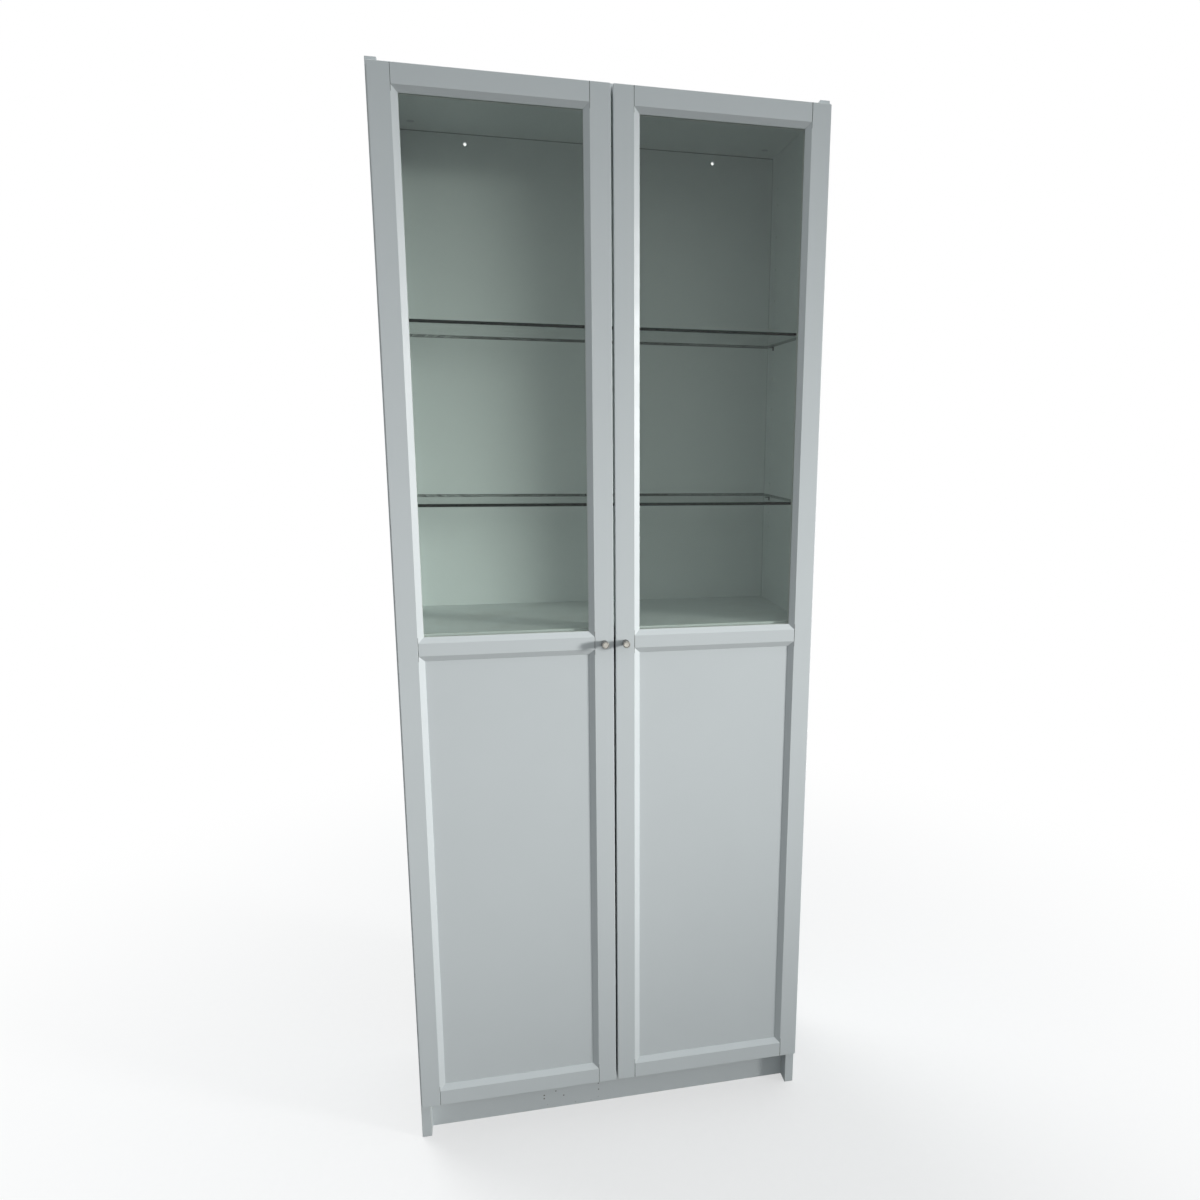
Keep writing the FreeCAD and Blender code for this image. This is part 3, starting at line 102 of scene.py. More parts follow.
class BookcaseColours(bpy.types.PropertyGroup):
    """Colours of the bookcase's finishes."""

    foil: FloatVectorProperty(
        name="Foil", description="Satin white foil on boards and door frames",
        subtype="COLOR", size=3, min=0.0, max=1.0, default=(0.675, 0.714, 0.722),
    )
    raw_board: FloatVectorProperty(
        name="Raw board", description="Particle board at the edges that no foil covers",
        subtype="COLOR", size=3, min=0.0, max=1.0, default=(0.46, 0.33, 0.20),
    )
    hardboard: FloatVectorProperty(
        name="Hardboard", description="Unpainted rear face of the back",
        subtype="COLOR", size=3, min=0.0, max=1.0, default=(0.30, 0.17, 0.08),
    )
    pane_tint: FloatVectorProperty(
        name="Pane tint", description="Light that the door panes let through",
        subtype="COLOR", size=3, min=0.0, max=1.0, default=(0.912, 0.945, 0.912),
    )
    shelf_tint: FloatVectorProperty(
        name="Shelf tint", description="Faint green of the glass shelves' faces",
        subtype="COLOR", size=3, min=0.0, max=1.0, default=(0.13, 0.20, 0.17),
    )
    glass_edge: FloatVectorProperty(
        name="Glass edge", description="Front edges of the glass shelves",
        subtype="COLOR", size=3, min=0.0, max=1.0, default=(0.002, 0.008, 0.007),
    )
    knob_nickel: FloatVectorProperty(
        name="Knob nickel", description="Satin nickel of the knobs",
        subtype="COLOR", size=3, min=0.0, max=1.0, default=(0.92, 0.88, 0.81),
    )
    hinge_nickel: FloatVectorProperty(
        name="Hinge nickel", description="Nickel-plated hinge parts",
        subtype="COLOR", size=3, min=0.0, max=1.0, default=(0.72, 0.70, 0.67),
    )
    zinc: FloatVectorProperty(
        name="Zinc", description="Zinc-plated screws, nails, bolts and brackets",
        subtype="COLOR", size=3, min=0.0, max=1.0, default=(0.56, 0.58, 0.61),
    )
    peg_steel: FloatVectorProperty(
        name="Peg steel", description="Dark plated shelf pegs",
        subtype="COLOR", size=3, min=0.0, max=1.0, default=(0.10, 0.10, 0.10),
    )
    beech: FloatVectorProperty(
        name="Beech", description="Raw beech of the dowels",
        subtype="COLOR", size=3, min=0.0, max=1.0, default=(0.62, 0.44, 0.26),
    )
    bead_plastic: FloatVectorProperty(
        name="Bead plastic", description="White plastic of the glazing beads",
        subtype="COLOR", size=3, min=0.0, max=1.0, default=(0.76, 0.77, 0.76),
    )
    tape: FloatVectorProperty(
        name="Tape", description="Tape that joins the halves of the back",
        subtype="COLOR", size=3, min=0.0, max=1.0, default=(0.70, 0.69, 0.65),
    )
    felt: FloatVectorProperty(
        name="Felt", description="Felt bumpers",
        subtype="COLOR", size=3, min=0.0, max=1.0, default=(0.68, 0.67, 0.63),
    )


def sizes():
    return bpy.context.scene.bookcase_sizes


def colour(name):
    return (*getattr(bpy.context.scene.bookcase_colours, name), 1.0)


# ------------------------------------------------------------------ node tree helpers
class Tree:
    """A node tree that is filled with short calls."""

    def __init__(self, node_tree):
        self.tree = node_tree

    def link(self, output, socket):
        self.tree.links.new(output, socket)

    def give(self, socket, given):
        """Link an output to a socket, or write a plain value in it."""
        if isinstance(given, bpy.types.NodeSocket):
            self.link(given, socket)
        else:
            socket.default_value = given

    def add(self, kind, values=None, **settings):
        """Make a node, set its options and its inputs' values or links."""
        made = self.tree.nodes.new(kind)
        for name, setting in settings.items():
            setattr(made, name, setting)
        for name, given in (values or {}).items():
            self.give(made.inputs[name], given)
        return made

    def feed(self, shader, **sockets):
        """Link outputs to a shader's inputs, whose names are written with underscores."""
        for name, output in sockets.items():
            self.link(output, shader.inputs[name.replace("_", " ")])

    def math(self, operation, *values, clamp=False):
        """One operation on up to three values."""
        values = dict(enumerate(values))
        made = self.add("ShaderNodeMath", values, operation=operation, use_clamp=clamp)
        return made.outputs[0]

    def fold(self, operation, first, *others):
        """One operation carried through any number of values."""
        for other in others:
            first = self.math(operation, first, other)
        return first

    def vector(self, operation, *values):
        values = dict(enumerate(values))
        made = self.add("ShaderNodeVectorMath", values, operation=operation)
        return made.outputs["Value" if operation in ("DOT_PRODUCT", "LENGTH") else "Vector"]

    def ramp(self, value, low, high, to_low=0.0, to_high=1.0):
        """A value carried smoothly from one range to another."""
        values = {"Value": value, "From Min": low, "From Max": high}
        values.update({"To Min": to_low, "To Max": to_high})
        made = self.add("ShaderNodeMapRange", values, interpolation_type="SMOOTHSTEP")
        return made.outputs["Result"]

    def blend(self, mask, below, above):
        """One colour over another by a mask."""
        made = self.add("ShaderNodeMix", {0: mask, 6: below, 7: above}, data_type="RGBA")
        return made.outputs[2]

    def noise(self, vector, scale, detail=2.0, roughness=0.5):
        values = {"Vector": vector, "Scale": scale, "Detail": detail, "Roughness": roughness}
        return self.add("ShaderNodeTexNoise", values).outputs["Fac"]

    def cells(self, vector, scale):
        values = {"Vector": vector, "Scale": scale, "Randomness": 1.0}
        return self.add("ShaderNodeTexVoronoi", values).outputs

    def place(self):
        return self.add("ShaderNodeTexCoord").outputs["Object"]

    def normal(self):
        return self.add("ShaderNodeTexCoord").outputs["Normal"]

    def xyz(self, vector):
        return self.add("ShaderNodeSeparateXYZ", {0: vector}).outputs

    def inwards(self, given):
        """How far a place lies inside the box of a group's Low and High, along each axis."""
        from_low = self.vector("SUBTRACT", self.place(), given["Low"])
        from_high = self.vector("SUBTRACT", given["High"], self.place())
        return self.xyz(self.vector("MINIMUM", from_low, from_high))

    def group(self, name, values):
        return self.add("ShaderNodeGroup", values, node_tree=shared_effect(name)).outputs


# ---------------------------------------------------------- effects that finishes share
def mottle(inside, given):
    """A colour with soft, cloudy differences in brightness."""
    cloud = inside.noise(inside.place(), given["Scale"], 4.0, 0.6)
    swing = inside.math("MULTIPLY", inside.math("SUBTRACT", cloud, 0.5), given["Amount"])
    factor = inside.math("MULTIPLY_ADD", swing, 2.0, 1.0)
    values = {0: given["Colour"], "Scale": factor}
    scaled = inside.add("ShaderNodeVectorMath", values, operation="SCALE")
    return {"Colour": scaled.outputs[0]}


def edge_wear(inside, given):
    """A broken mask along the edges of a box, where handling has rubbed them."""
    a, b, c = inside.inwards(given)
    larger = inside.math("MINIMUM", inside.math("MAXIMUM", a, b), c)
    second = inside.math("MAXIMUM", inside.math("MINIMUM", a, b), larger)
    share = inside.math("DIVIDE", second, given["Width"])
    near = inside.math("SUBTRACT", 1.0, share, clamp=True)
    broken = inside.ramp(inside.noise(inside.place(), 38.0, 6.0, 0.7), 0.46, 0.68)
    rubbed = inside.math("MULTIPLY", near, broken)
    return {"Mask": inside.math("MULTIPLY", rubbed, given["Amount"], clamp=True)}


def facing_mask(inside, given):
    """A mask of the faces that look in one direction."""
    along = inside.vector("DOT_PRODUCT", inside.normal(), given["Direction"])
    return {"Mask": inside.ramp(along, 0.90, 0.97)}


def dust_film(inside, given):
    """A film of dust on faces that look up."""
    level = inside.ramp(inside.xyz(inside.normal())[2], 0.6, 0.95)
    patches = inside.ramp(inside.noise(inside.place(), 9.0, 5.0, 0.65), 0.35, 0.75)
    mask = inside.fold("MULTIPLY", level, patches, given["Amount"])
    return {"Colour": inside.blend(mask, given["Colour"], (0.47, 0.45, 0.41, 1)), "Mask": mask}


def wood_chips(inside, given):
    """Pressed wood chips of raw particle board."""
    cells = inside.cells(inside.vector("MULTIPLY", inside.place(), (1.0, 1.0, 0.45)), 620.0)
    dark = inside.vector("MULTIPLY", given["Colour"], (0.52, 0.46, 0.40))
    light = inside.vector("MULTIPLY", given["Colour"], (1.30, 1.32, 1.36))
    return {"Colour": inside.blend(inside.xyz(cells["Color"])[0], dark, light)}


def lathe_marks(inside, given):
    """Fine turning marks round an axis through a point, along Y."""
    offset = inside.vector("SUBTRACT", inside.place(), given["Centre"])
    radius = inside.vector("LENGTH", inside.vector("MULTIPLY", offset, (1, 0, 1)))
    rings = inside.math("DIVIDE", radius, given["Pitch"])
    along = inside.math("DIVIDE", inside.xyz(inside.place())[1], given["Pitch"])
    phase = inside.math("MULTIPLY", inside.math("ADD", rings, along), 2 * math.pi)
    return {"Height": inside.math("SINE", phase)}


def groove_shade(inside, given):
    """A dark line of painted shade in the upright groove between two boards."""
    across, _depth, height = inside.xyz(inside.place())
    away = inside.math("ABSOLUTE", inside.math("SUBTRACT", across, given["Across"]))
    line = inside.ramp(inside.math("DIVIDE", away, given["Half Width"]), 0.4, 1.2, 1.0, 0.0)
    above = inside.math("GREATER_THAN", height, given["Low"])
    below = inside.math("LESS_THAN", height, given["High"])
    broken = inside.ramp(inside.noise(inside.place(), 45.0, 4.0, 0.6), 0.25, 0.6, 0.6, 0.85)
    mask = inside.fold("MULTIPLY", line, above, below, broken)
    return {"Colour": inside.blend(mask, given["Colour"], PAINTED_SHADE)}


def specks(inside, given):
    """A few small dark specks scattered in a box."""
    cells = inside.cells(inside.vector("MULTIPLY", inside.place(), (1, 0, 1)), 120.0)
    size = inside.ramp(inside.xyz(cells["Color"])[0], 0.60, 1.0, 0.0, 0.22)
    spot = inside.math("LESS_THAN", cells["Distance"], size)
    within = inside.math("GREATER_THAN", inside.fold("MINIMUM", *inside.inwards(given)), 0.0)
    mask = inside.fold("MULTIPLY", spot, within, 0.8)
    return {"Colour": inside.blend(mask, given["Colour"], (0.10, 0.09, 0.08, 1))}


# each effect's node group: what fills it, and its inputs with their defaults
EFFECTS = {
    "Mottle": (mottle, {"Colour": PALE, "Scale": 12.0, "Amount": 0.04}),
    "Edge Wear": (
        edge_wear, {"Low": (0, 0, 0), "High": (1, 1, 1), "Width": 2 * MM, "Amount": 0.5}
    ),
    "Facing": (facing_mask, {"Direction": (0, 0, 1)}),
    "Dust": (dust_film, {"Colour": PALE, "Amount": 0.2}),
    "Wood Chips": (wood_chips, {"Colour": (0.5, 0.35, 0.2, 1)}),
    "Lathe Marks": (lathe_marks, {"Centre": (0, 0, 0), "Pitch": 0.3 * MM}),
    "Seam": (
        groove_shade, {"Colour": PALE, "Across": 0.0, "Half Width": 0.6 * MM, "Low": 0.0, "High": 1.0}
    ),
    "Specks": (specks, {"Colour": PALE, "Low": (0, 0, 0), "High": (1, 1, 1)}),
}
effects_made = {}


def shared_effect(name):
    """The one node group of an effect, made when it is first asked for."""
    if name in effects_made:
        return effects_made[name]
    fill, inputs = EFFECTS[name]
    made = effects_made[name] = bpy.data.node_groups.new(name, "ShaderNodeTree")
    sides = made.interface
    for socket, default in inputs.items():
        kind = "Float" if isinstance(default, float) else "Color" if len(default) == 4 else "Vector"
        entry = sides.new_socket(name=socket, in_out="INPUT", socket_type="NodeSocket" + kind)
        entry.default_value = default
    inside = Tree(made)
    results = fill(inside, inside.add("NodeGroupInput").outputs)
    for socket in results:
        kind = "Color" if socket == "Colour" else "Float"
        sides.new_socket(name=socket, in_out="OUTPUT", socket_type="NodeSocket" + kind)
    inside.add("NodeGroupOutput", results)
    return made


# -------------------------------------------------------------------------- finishes
def new_finish(name, **plain):
    """A material with one Principled shader, and its tree and shader."""
    material = bpy.data.materials.new(name)
    material.use_nodes = True
    shader = material.node_tree.nodes["Principled BSDF"]
    for socket, given in plain.items():
        shader.inputs[socket.replace("_", " ")].default_value = given
    return material, Tree(material.node_tree), shader


def bump(tree, shader, height, distance, strength=1.0):
    values = {"Height": height, "Distance": distance, "Strength": strength}
    tree.feed(shader, Normal=tree.add("ShaderNodeBump", values).outputs["Normal"])


def cloudy(tree, tone, scale, amount):
    """One of the bookcase's colours with cloudy differences in it."""
    return tree.group("Mottle", {"Colour": tone, "Scale": scale, "Amount": amount})["Colour"]


def foil_finish(node, raw_faces=(), wear=0.5, dust=0.25, holes=False, seams=(), scuffed=False):
    """Satin foil on board: cloudy tone, rubbed edges, dust, and raw board where no foil is."""
    low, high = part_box(node)
    material, tree, shader = new_finish(node + "_foil", IOR=1.47)
    base = cloudy(tree, colour("foil"), 7.0, 0.022)
    edges = {"Low": low, "High": high, "Width": 2.2 * MM, "Amount": wear}
    worn = tree.group("Edge Wear", edges)["Mask"]
    rubbed = tree.blend(worn, base, (0.50, 0.47, 0.41, 1))
    dusty = tree.group("Dust", {"Colour": rubbed, "Amount": dust})
    shown = dusty["Colour"]
    bare = [tree.group("Facing", {"Direction": direction})["Mask"] for direction in raw_faces]
    if holes:
        bare.append(peg_hole_mask(tree))
    if bare:
        chips = tree.group("Wood Chips", {"Colour": colour("raw_board")})["Colour"]
        for mask in bare:
            shown = tree.blend(mask, shown, chips)
    # painted shade along the grooves where the rails butt against the stiles
    for across, bottom, top in seams:
        line = {"Colour": shown, "Across": across, "Half Width": 0.55 * MM}
        shown = tree.group("Seam", {**line, "Low": bottom, "High": top})["Colour"]
    if scuffed:
        scuffs = {"Low": (-0.18, -1.0, 0.004), "High": (-0.025, 1.0, 0.075)}
        shown = tree.group("Specks", {"Colour": shown, **scuffs})["Colour"]
    sheen = tree.ramp(tree.noise(tree.place(), 26.0, 5.0, 0.6), 0.25, 0.8, 0.33, 0.43)
    roughness = tree.math("MULTIPLY_ADD", dusty["Mask"], 0.35, sheen)
    tree.feed(shader, Base_Color=shown, Roughness=roughness)
    bump(tree, shader, tree.noise(tree.place(), 520.0, 2.0, 0.45), 0.06 * MM, 0.55)
    return material


def peg_hole_mask(tree):
    """The walls of the drilled peg holes, which show the board's raw core."""
    across, depth, height = tree.xyz(tree.place())
    side_on = tree.math("ABSOLUTE", tree.xyz(tree.normal())[0])
    wall = tree.math("LESS_THAN", side_on, 0.4)
    rows = sorted({round(middle.y, 4) for middle, _low, _high in solids_of("glass_shelf_pegs")})
    front, rear = [tree.math("COMPARE", depth, row, 3 * MM) for row in rows]
    inner = tree.math("LESS_THAN", tree.math("ABSOLUTE", across), INNER_FACE + 0.2 * MM)
    below_top = tree.math("LESS_THAN", height, 1.95)
    return tree.fold("MULTIPLY", wall, tree.math("MAXIMUM", front, rear), inner, below_top)


def hardboard_finish():
    """Hardboard, painted white inside, with painted shade in the corners where the top and the
    sides meet it, and brown behind.
    """
    material, tree, shader = new_finish("painted_hardboard", IOR=1.46)
    painted = cloudy(tree, colour("foil"), 5.0, 0.03)
    place = tree.place()
    across, _depth, height = tree.xyz(place)
    # painted shade: darker lines just under the top panel and beside the side panels' inner faces
    under_top = tree.math("SUBTRACT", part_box("top_panel")[0].z, height)
    shade_under_top = tree.ramp(under_top, 0.8 * MM, 2.2 * MM, 0.75, 0.0)
    past_side = tree.math("SUBTRACT", tree.math("ABSOLUTE", across), INNER_FACE)
    shade_by_sides = tree.ramp(past_side, -1.2 * MM, -0.2 * MM, 0.0, 0.35)
    painted_shade_lined = tree.blend(tree.math("MAXIMUM", shade_under_top, shade_by_sides), painted, PAINTED_SHADE)
    fibres = tree.noise(tree.vector("MULTIPLY", place, (1.0, 1.0, 0.6)), 900.0, 3.0, 0.7)
    cloud = tree.math("MULTIPLY", tree.noise(place, 14.0, 4.0, 0.6), 0.3)
    tone = tree.ramp(tree.math("MULTIPLY_ADD", fibres, 0.7, cloud), 0.35, 0.65)
    brown = tree.vector("MULTIPLY", colour("hardboard")[:3], (0.78, 0.76, 0.74))
    pale = tree.vector("MULTIPLY", colour("hardboard")[:3], (1.35, 1.38, 1.42))
    rear = tree.group("Facing", {"Direction": BACK})["Mask"]
    shown = tree.blend(rear, painted_shade_lined, tree.blend(tone, brown, pale))
    tree.feed(shader, Base_Color=shown, Roughness=tree.ramp(rear, 0.0, 1.0, 0.42, 0.78))
    bump(tree, shader, fibres, 0.08 * MM, 0.5)
    return material


def metal_finish(name, tone, roughness, scratch=0.35):
    """Plated steel: cloudy tone, a fine grain and darker spots."""
    material, tree, shader = new_finish(name, Metallic=1.0)
    base = cloudy(tree, colour(tone), 60.0, 0.09)
    place = tree.place()
    grain = tree.noise(place, 2400.0, 3.0, 0.7)
    spots = tree.ramp(tree.noise(place, 420.0, 4.0, 0.7), 0.62, 0.78, 0.0, 0.2)
    shown = tree.blend(spots, base, (0.20, 0.19, 0.18, 1))
    rough = tree.ramp(grain, 0.3, 0.7, roughness - 0.06, roughness + 0.08)
    tree.feed(shader, Base_Color=shown, Roughness=rough)
    bump(tree, shader, grain, 0.02 * MM, scratch)
    return material


def knob_finish(side):
    """Satin nickel with painted shade and dark reflection round the knob's side, with turning marks
    round its own axis.
    """
    material, tree, shader = new_finish(f"{side}_knob_nickel", Metallic=1.0)
    base = cloudy(tree, colour("knob_nickel"), 130.0, 0.06)
    end = tree.group("Facing", {"Direction": OUT})["Mask"]
    # painted shade and dark reflection: the knob's side gets a fifth of the end face's colour
    shaded_side = tree.vector("MULTIPLY", base, (0.20, 0.20, 0.205))
    smudge = tree.noise(tree.place(), 260.0, 3.0, 0.6)
    satin = tree.math("MULTIPLY_ADD", end, 0.30, tree.ramp(smudge, 0.3, 0.75, 0.24, 0.40))
    tree.feed(shader, Base_Color=tree.blend(end, shaded_side, base), Roughness=satin)
    centre = centre_of(f"{side}_door_knob")
    marks = tree.group("Lathe Marks", {"Centre": centre, "Pitch": 0.35 * MM})["Height"]
    bump(tree, shader, marks, 0.012 * MM, 0.6)
    return material


def lamp_through(tree, shader, tint):
    """Let lamps and soft light through glass as a plain tint, less what the glass throws back."""
    path = tree.add("ShaderNodeLightPath").outputs
    passed = [0.91 * share for share in tint[:3]]
    clear = tree.add("ShaderNodeBsdfTransparent", {"Color": (*passed, 1)})
    either = tree.math("MAXIMUM", path["Is Shadow Ray"], path["Is Diffuse Ray"])
    shaders = {0: either, 1: shader.outputs[0], 2: clear.outputs[0]}
    mixed = tree.add("ShaderNodeMixShader", shaders)
    tree.link(mixed.outputs[0], tree.tree.nodes["Material Output"].inputs["Surface"])


def pane_finish():
    """Clear float glass with a faint film of dust."""
    material, tree, shader = new_finish("clear_door_pane", IOR=1.33, Transmission_Weight=1.0)
    film = tree.ramp(tree.noise(tree.place(), 16.0, 5.0, 0.65), 0.45, 0.8, 0.0, 0.028)
    shown = cloudy(tree, colour("pane_tint"), 3.0, 0.006)
    tree.feed(shader, Base_Color=shown, Roughness=film)
    lamp_through(tree, shader, colour("pane_tint"))
    return material


def shelf_glass_finish():
    """Toughened glass: almost clear faces, a dark front edge, thinner lines at the others."""
    material, tree, shader = new_finish("clear_shelf_glass", IOR=1.12)
    across, depth, _height = tree.xyz(tree.normal())
    front = tree.ramp(depth, -0.8, -0.45, 1.0, 0.0)
    rear = tree.ramp(depth, 0.45, 0.8)
    ends = tree.ramp(tree.math("ABSOLUTE", across), 0.45, 0.8)
    edges = tree.fold("MAXIMUM", rear, ends, front)
    smudge = tree.noise(tree.place(), 22.0, 5.0, 0.65)
    edge_tone = tree.blend(front, (0.02, 0.07, 0.055, 1), colour("glass_edge"))
    shown = tree.blend(edges, colour("shelf_tint"), edge_tone)
    alpha = tree.ramp(smudge, 0.3, 0.75, 0.12, 0.17)
    for mask, cover in ((front, 0.99), (rear, 0.24), (ends, 0.38)):
        alpha = tree.math("MAXIMUM", alpha, tree.math("MULTIPLY", mask, cover))
    film = tree.ramp(smudge, 0.3, 0.75, 0.03, 0.12)
    tree.feed(shader, Base_Color=shown, Alpha=alpha, Roughness=film)
    return material


def soft_plastic_finish(name, tone, roughness=0.45):
    """Matt plastic with a fine moulded grain."""
    material, tree, shader = new_finish(name, IOR=1.47)
    base = cloudy(tree, colour(tone), 30.0, 0.03)
    dusty = tree.group("Dust", {"Colour": base, "Amount": 0.3})["Colour"]
    grain = tree.noise(tree.place(), 1500.0, 2.0, 0.5)
    rough = tree.ramp(grain, 0.3, 0.7, roughness - 0.05, roughness + 0.07)
    tree.feed(shader, Base_Color=dusty, Roughness=rough)
    bump(tree, shader, grain, 0.03 * MM, 0.4)
    return material


def beech_finish():
    """Raw beech with straight grain along the dowels and short dark flecks."""
    material, tree, shader = new_finish("raw_beech", IOR=1.45)
    place = tree.place()
    grain = tree.noise(tree.vector("MULTIPLY", place, (40.0, 900.0, 900.0)), 1.0, 4.0, 0.6)
    fine = tree.noise(tree.vector("MULTIPLY", place, (300.0, 2600.0, 2600.0)), 1.0)
    streaks = tree.ramp(grain, 0.35, 0.65, 0.0, 0.5)
    streaked = tree.blend(streaks, cloudy(tree, colour("beech"), 40.0, 0.08), (0.42, 0.26, 0.13, 1))
    shown = tree.blend(tree.ramp(fine, 0.62, 0.75), streaked, (0.30, 0.17, 0.08, 1))
    tree.feed(shader, Base_Color=shown, Roughness=tree.ramp(grain, 0.3, 0.7, 0.62, 0.76))
    bump(tree, shader, grain, 0.08 * MM, 0.5)
    return material


def felt_finish():
    """Pressed felt with short tangled fibres."""
    material, tree, shader = new_finish("pressed_felt", Sheen_Weight=0.4, Sheen_Roughness=0.6)
    fibres = tree.noise(tree.place(), 1900.0, 5.0, 0.8)
    base = cloudy(tree, colour("felt"), 320.0, 0.16)
    shown = tree.blend(tree.ramp(fibres, 0.35, 0.6, 0.45, 0.0), base, (0.40, 0.38, 0.34, 1))
    tree.feed(shader, Base_Color=shown, Roughness=tree.ramp(fibres, 0.3, 0.7, 0.88, 0.98))
    bump(tree, shader, fibres, 0.2 * MM, 0.8)
    return material


def set_finish(node, material):
    """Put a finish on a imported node's own slots."""
    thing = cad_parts[node]
    if not thing.material_slots:
        thing.data.materials.append(material)
    for slot in thing.material_slots:
        slot.material = material


# ---------------------------------------------------------------- mesh-making helpers
def centre_of(node):
    low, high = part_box(node)
    return (low + high) / 2


def beyond(at, x, y, z):
    """The point that lies some millimetres along each axis from another."""
    return at + Vector((x, y, z)) * MM


def ring_edges(solid, ring):
    held = set(ring)
    return [e for e in solid.edges if e.verts[0] in held and e.verts[1] in held]


def round_ring(solid, radius, height, steps=24):
    """A ring of points round Z, in millimetres."""
    matrix = Matrix.Translation((0, 0, height * MM))
    made = bmesh.ops.create_circle(solid, radius=radius * MM, segments=steps, matrix=matrix)
    return made["verts"]


def cross_ring(solid, reach, half_width, height):
    """A ring of 24 points drawn in to the outline of a cross, in millimetres."""
    middle = (reach + half_width) / 2
    quarter = [
        (reach, 0), (reach, half_width), (middle, half_width),
        (half_width, half_width), (half_width, middle), (half_width, reach),
    ]
    ring = round_ring(solid, reach, height)
    ring.sort(key=lambda v: math.atan2(v.co.y, v.co.x) % (2 * math.pi))
    for i, vert in enumerate(ring):
        x, y = quarter[i % 6]
        for _turn in range(i // 6):
            x, y = -y, x
        vert.co.x, vert.co.y = x * MM, y * MM
    return ring


def stacked(rings, solid):
    """Join a stack of rings into one closed solid."""
    for lower, upper in zip(rings, rings[1:]):
        edges = ring_edges(solid, lower) + ring_edges(solid, upper)
        bmesh.ops.bridge_loops(solid, edges=edges)
    for end in (rings[0], rings[-1]):
        bmesh.ops.contextual_create(solid, geom=ring_edges(solid, end))
    return solid


def turned(profile, steps):
    """Spin points of radius and height, in millimetres, round Z into one closed solid."""
    solid = bmesh.new()
    line = [solid.verts.new((radius * MM, 0, height * MM)) for radius, height in profile]
    runs = [solid.edges.new(pair) for pair in zip(line, line[1:])]
    bmesh.ops.spin(
        solid, geom=line + runs, cent=(0, 0, 0), axis=(0, 0, 1), angle=2 * math.pi,
        steps=steps, use_merge=True,
    )
    bmesh.ops.remove_doubles(solid, verts=solid.verts, dist=1e-7)
    return solid


def round_off(solid, edges, width, segments=2):
    bmesh.ops.bevel(
        solid, geom=edges, offset=width, offset_type="OFFSET", affect="EDGES",
        segments=segments, profile=0.5, material=-1, clamp_overlap=True,
    )


def block(one, other, rounding=0.0, segments=2):
    """A cuboid between two corners, its edges rounded where a width is given."""
    one, other = Vector(one), Vector(other)
    size = [abs(a - b) for a, b in zip(one, other)]
    matrix = Matrix.Translation((one + other) / 2) @ Matrix.Diagonal((*size, 1))
    solid = bmesh.new()
    bmesh.ops.create_cube(solid, size=1.0, matrix=matrix)
    if rounding:
        round_off(solid, solid.edges[:], rounding, segments)
    return solid


def softened(node, width):
    """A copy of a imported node, merged to whole faces, with its sharp edges rounded."""
    solid = bmesh.new()
    solid.from_mesh(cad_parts[node].data)
    bmesh.ops.remove_doubles(solid, verts=solid.verts, dist=1e-6)
    bmesh.ops.dissolve_limit(
        solid, angle_limit=math.radians(1), verts=solid.verts[:], edges=solid.edges[:]
    )
    sharp = [
        e for e in solid.edges
        if len(e.link_faces) == 2 and e.calc_face_angle() > math.radians(35)
    ]
    round_off(solid, sharp, width)
    return solid


def solids_of(node):
    """The centre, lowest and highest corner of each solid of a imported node."""
    solid = bmesh.new()
    solid.from_mesh(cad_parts[node].data)
    bmesh.ops.remove_doubles(solid, verts=solid.verts, dist=1e-6)
    left = set(solid.verts)
    found = []
    while left:
        island = [left.pop()]
        for vert in island:
            for edge in vert.link_edges:
                other = edge.other_vert(vert)
                if other in left:
                    left.remove(other)
                    island.append(other)
        low = Vector([min(v.co[i] for v in island) for i in range(3)])
        high = Vector([max(v.co[i] for v in island) for i in range(3)])
        found.append(((low + high) / 2, low, high))
    solid.free()
    return sorted(found, key=lambda s: tuple(round(c, 4) for c in s[0]))


def screw(head_radius, head_height, shank_radius, length, pitch):
    """A screw along Z in millimetres: its cross head above 0, its thread below."""
    solid = bmesh.new()
    outline = [(shank_radius * 0.2, -length)]
    for i in range(max(3, int(length * 0.8 / pitch))):
        root = -length + 0.08 * length + i * pitch
        outline += [(shank_radius * 0.78, root), (shank_radius, root + pitch * 0.5)]
    outline += [(shank_radius * 0.8, -0.1 * length), (shank_radius * 0.9, 0)]
    outline.append((head_radius * 0.97, 0))
    for lean in (0.35, 0.7, 1.0):
        dome = head_height * math.sin(lean * math.pi / 2)
        outline.append((head_radius * (1.0 - 0.22 * lean * lean), dome))
    rings = [round_ring(solid, radius, height) for radius, height in outline]
    depth = min(sizes().recess_depth / MM, head_height * 0.8)
    reach = head_radius * 0.62
    rings.append(cross_ring(solid, reach, reach * 0.24, head_height))
    rings.append(cross_ring(solid, reach * 0.72, reach * 0.17, head_height - depth))
    return stacked(rings, solid)


def screws_for(
    node, head_radius, head_height, shank_radius, facing=None, short=0.0, pitch=1.4, turns=(0.0,)
):
    """Cross-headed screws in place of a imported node's plain ones, in millimetres.

    The heads face one direction or, where none is given, the middle of the bookcase.
    """
    made = []
    for i, (middle, low, high) in enumerate(solids_of(node)):
        towards = facing or Vector((-1 if middle.x > 0 else 1, 0, 0))
        whole = abs((high - low).dot(towards)) / MM
        seat = middle + towards * (whole / 2 - head_height) * MM
        length = whole - head_height - short
        solid = screw(head_radius, head_height, shank_radius, length, pitch)
        made.append(put(solid, seat, towards, turns[i % len(turns)]))
    return made


def put(solid, at, direction, turn=0.0):
    """Move a solid to a point, its local Z along a direction."""
    lean = UP.rotation_difference(Vector(direction)).to_matrix().to_4x4()
    matrix = Matrix.Translation(at) @ lean @ Matrix.Rotation(turn, 4, "Z")
    bmesh.ops.transform(solid, matrix=matrix, verts=solid.verts)
    return solid


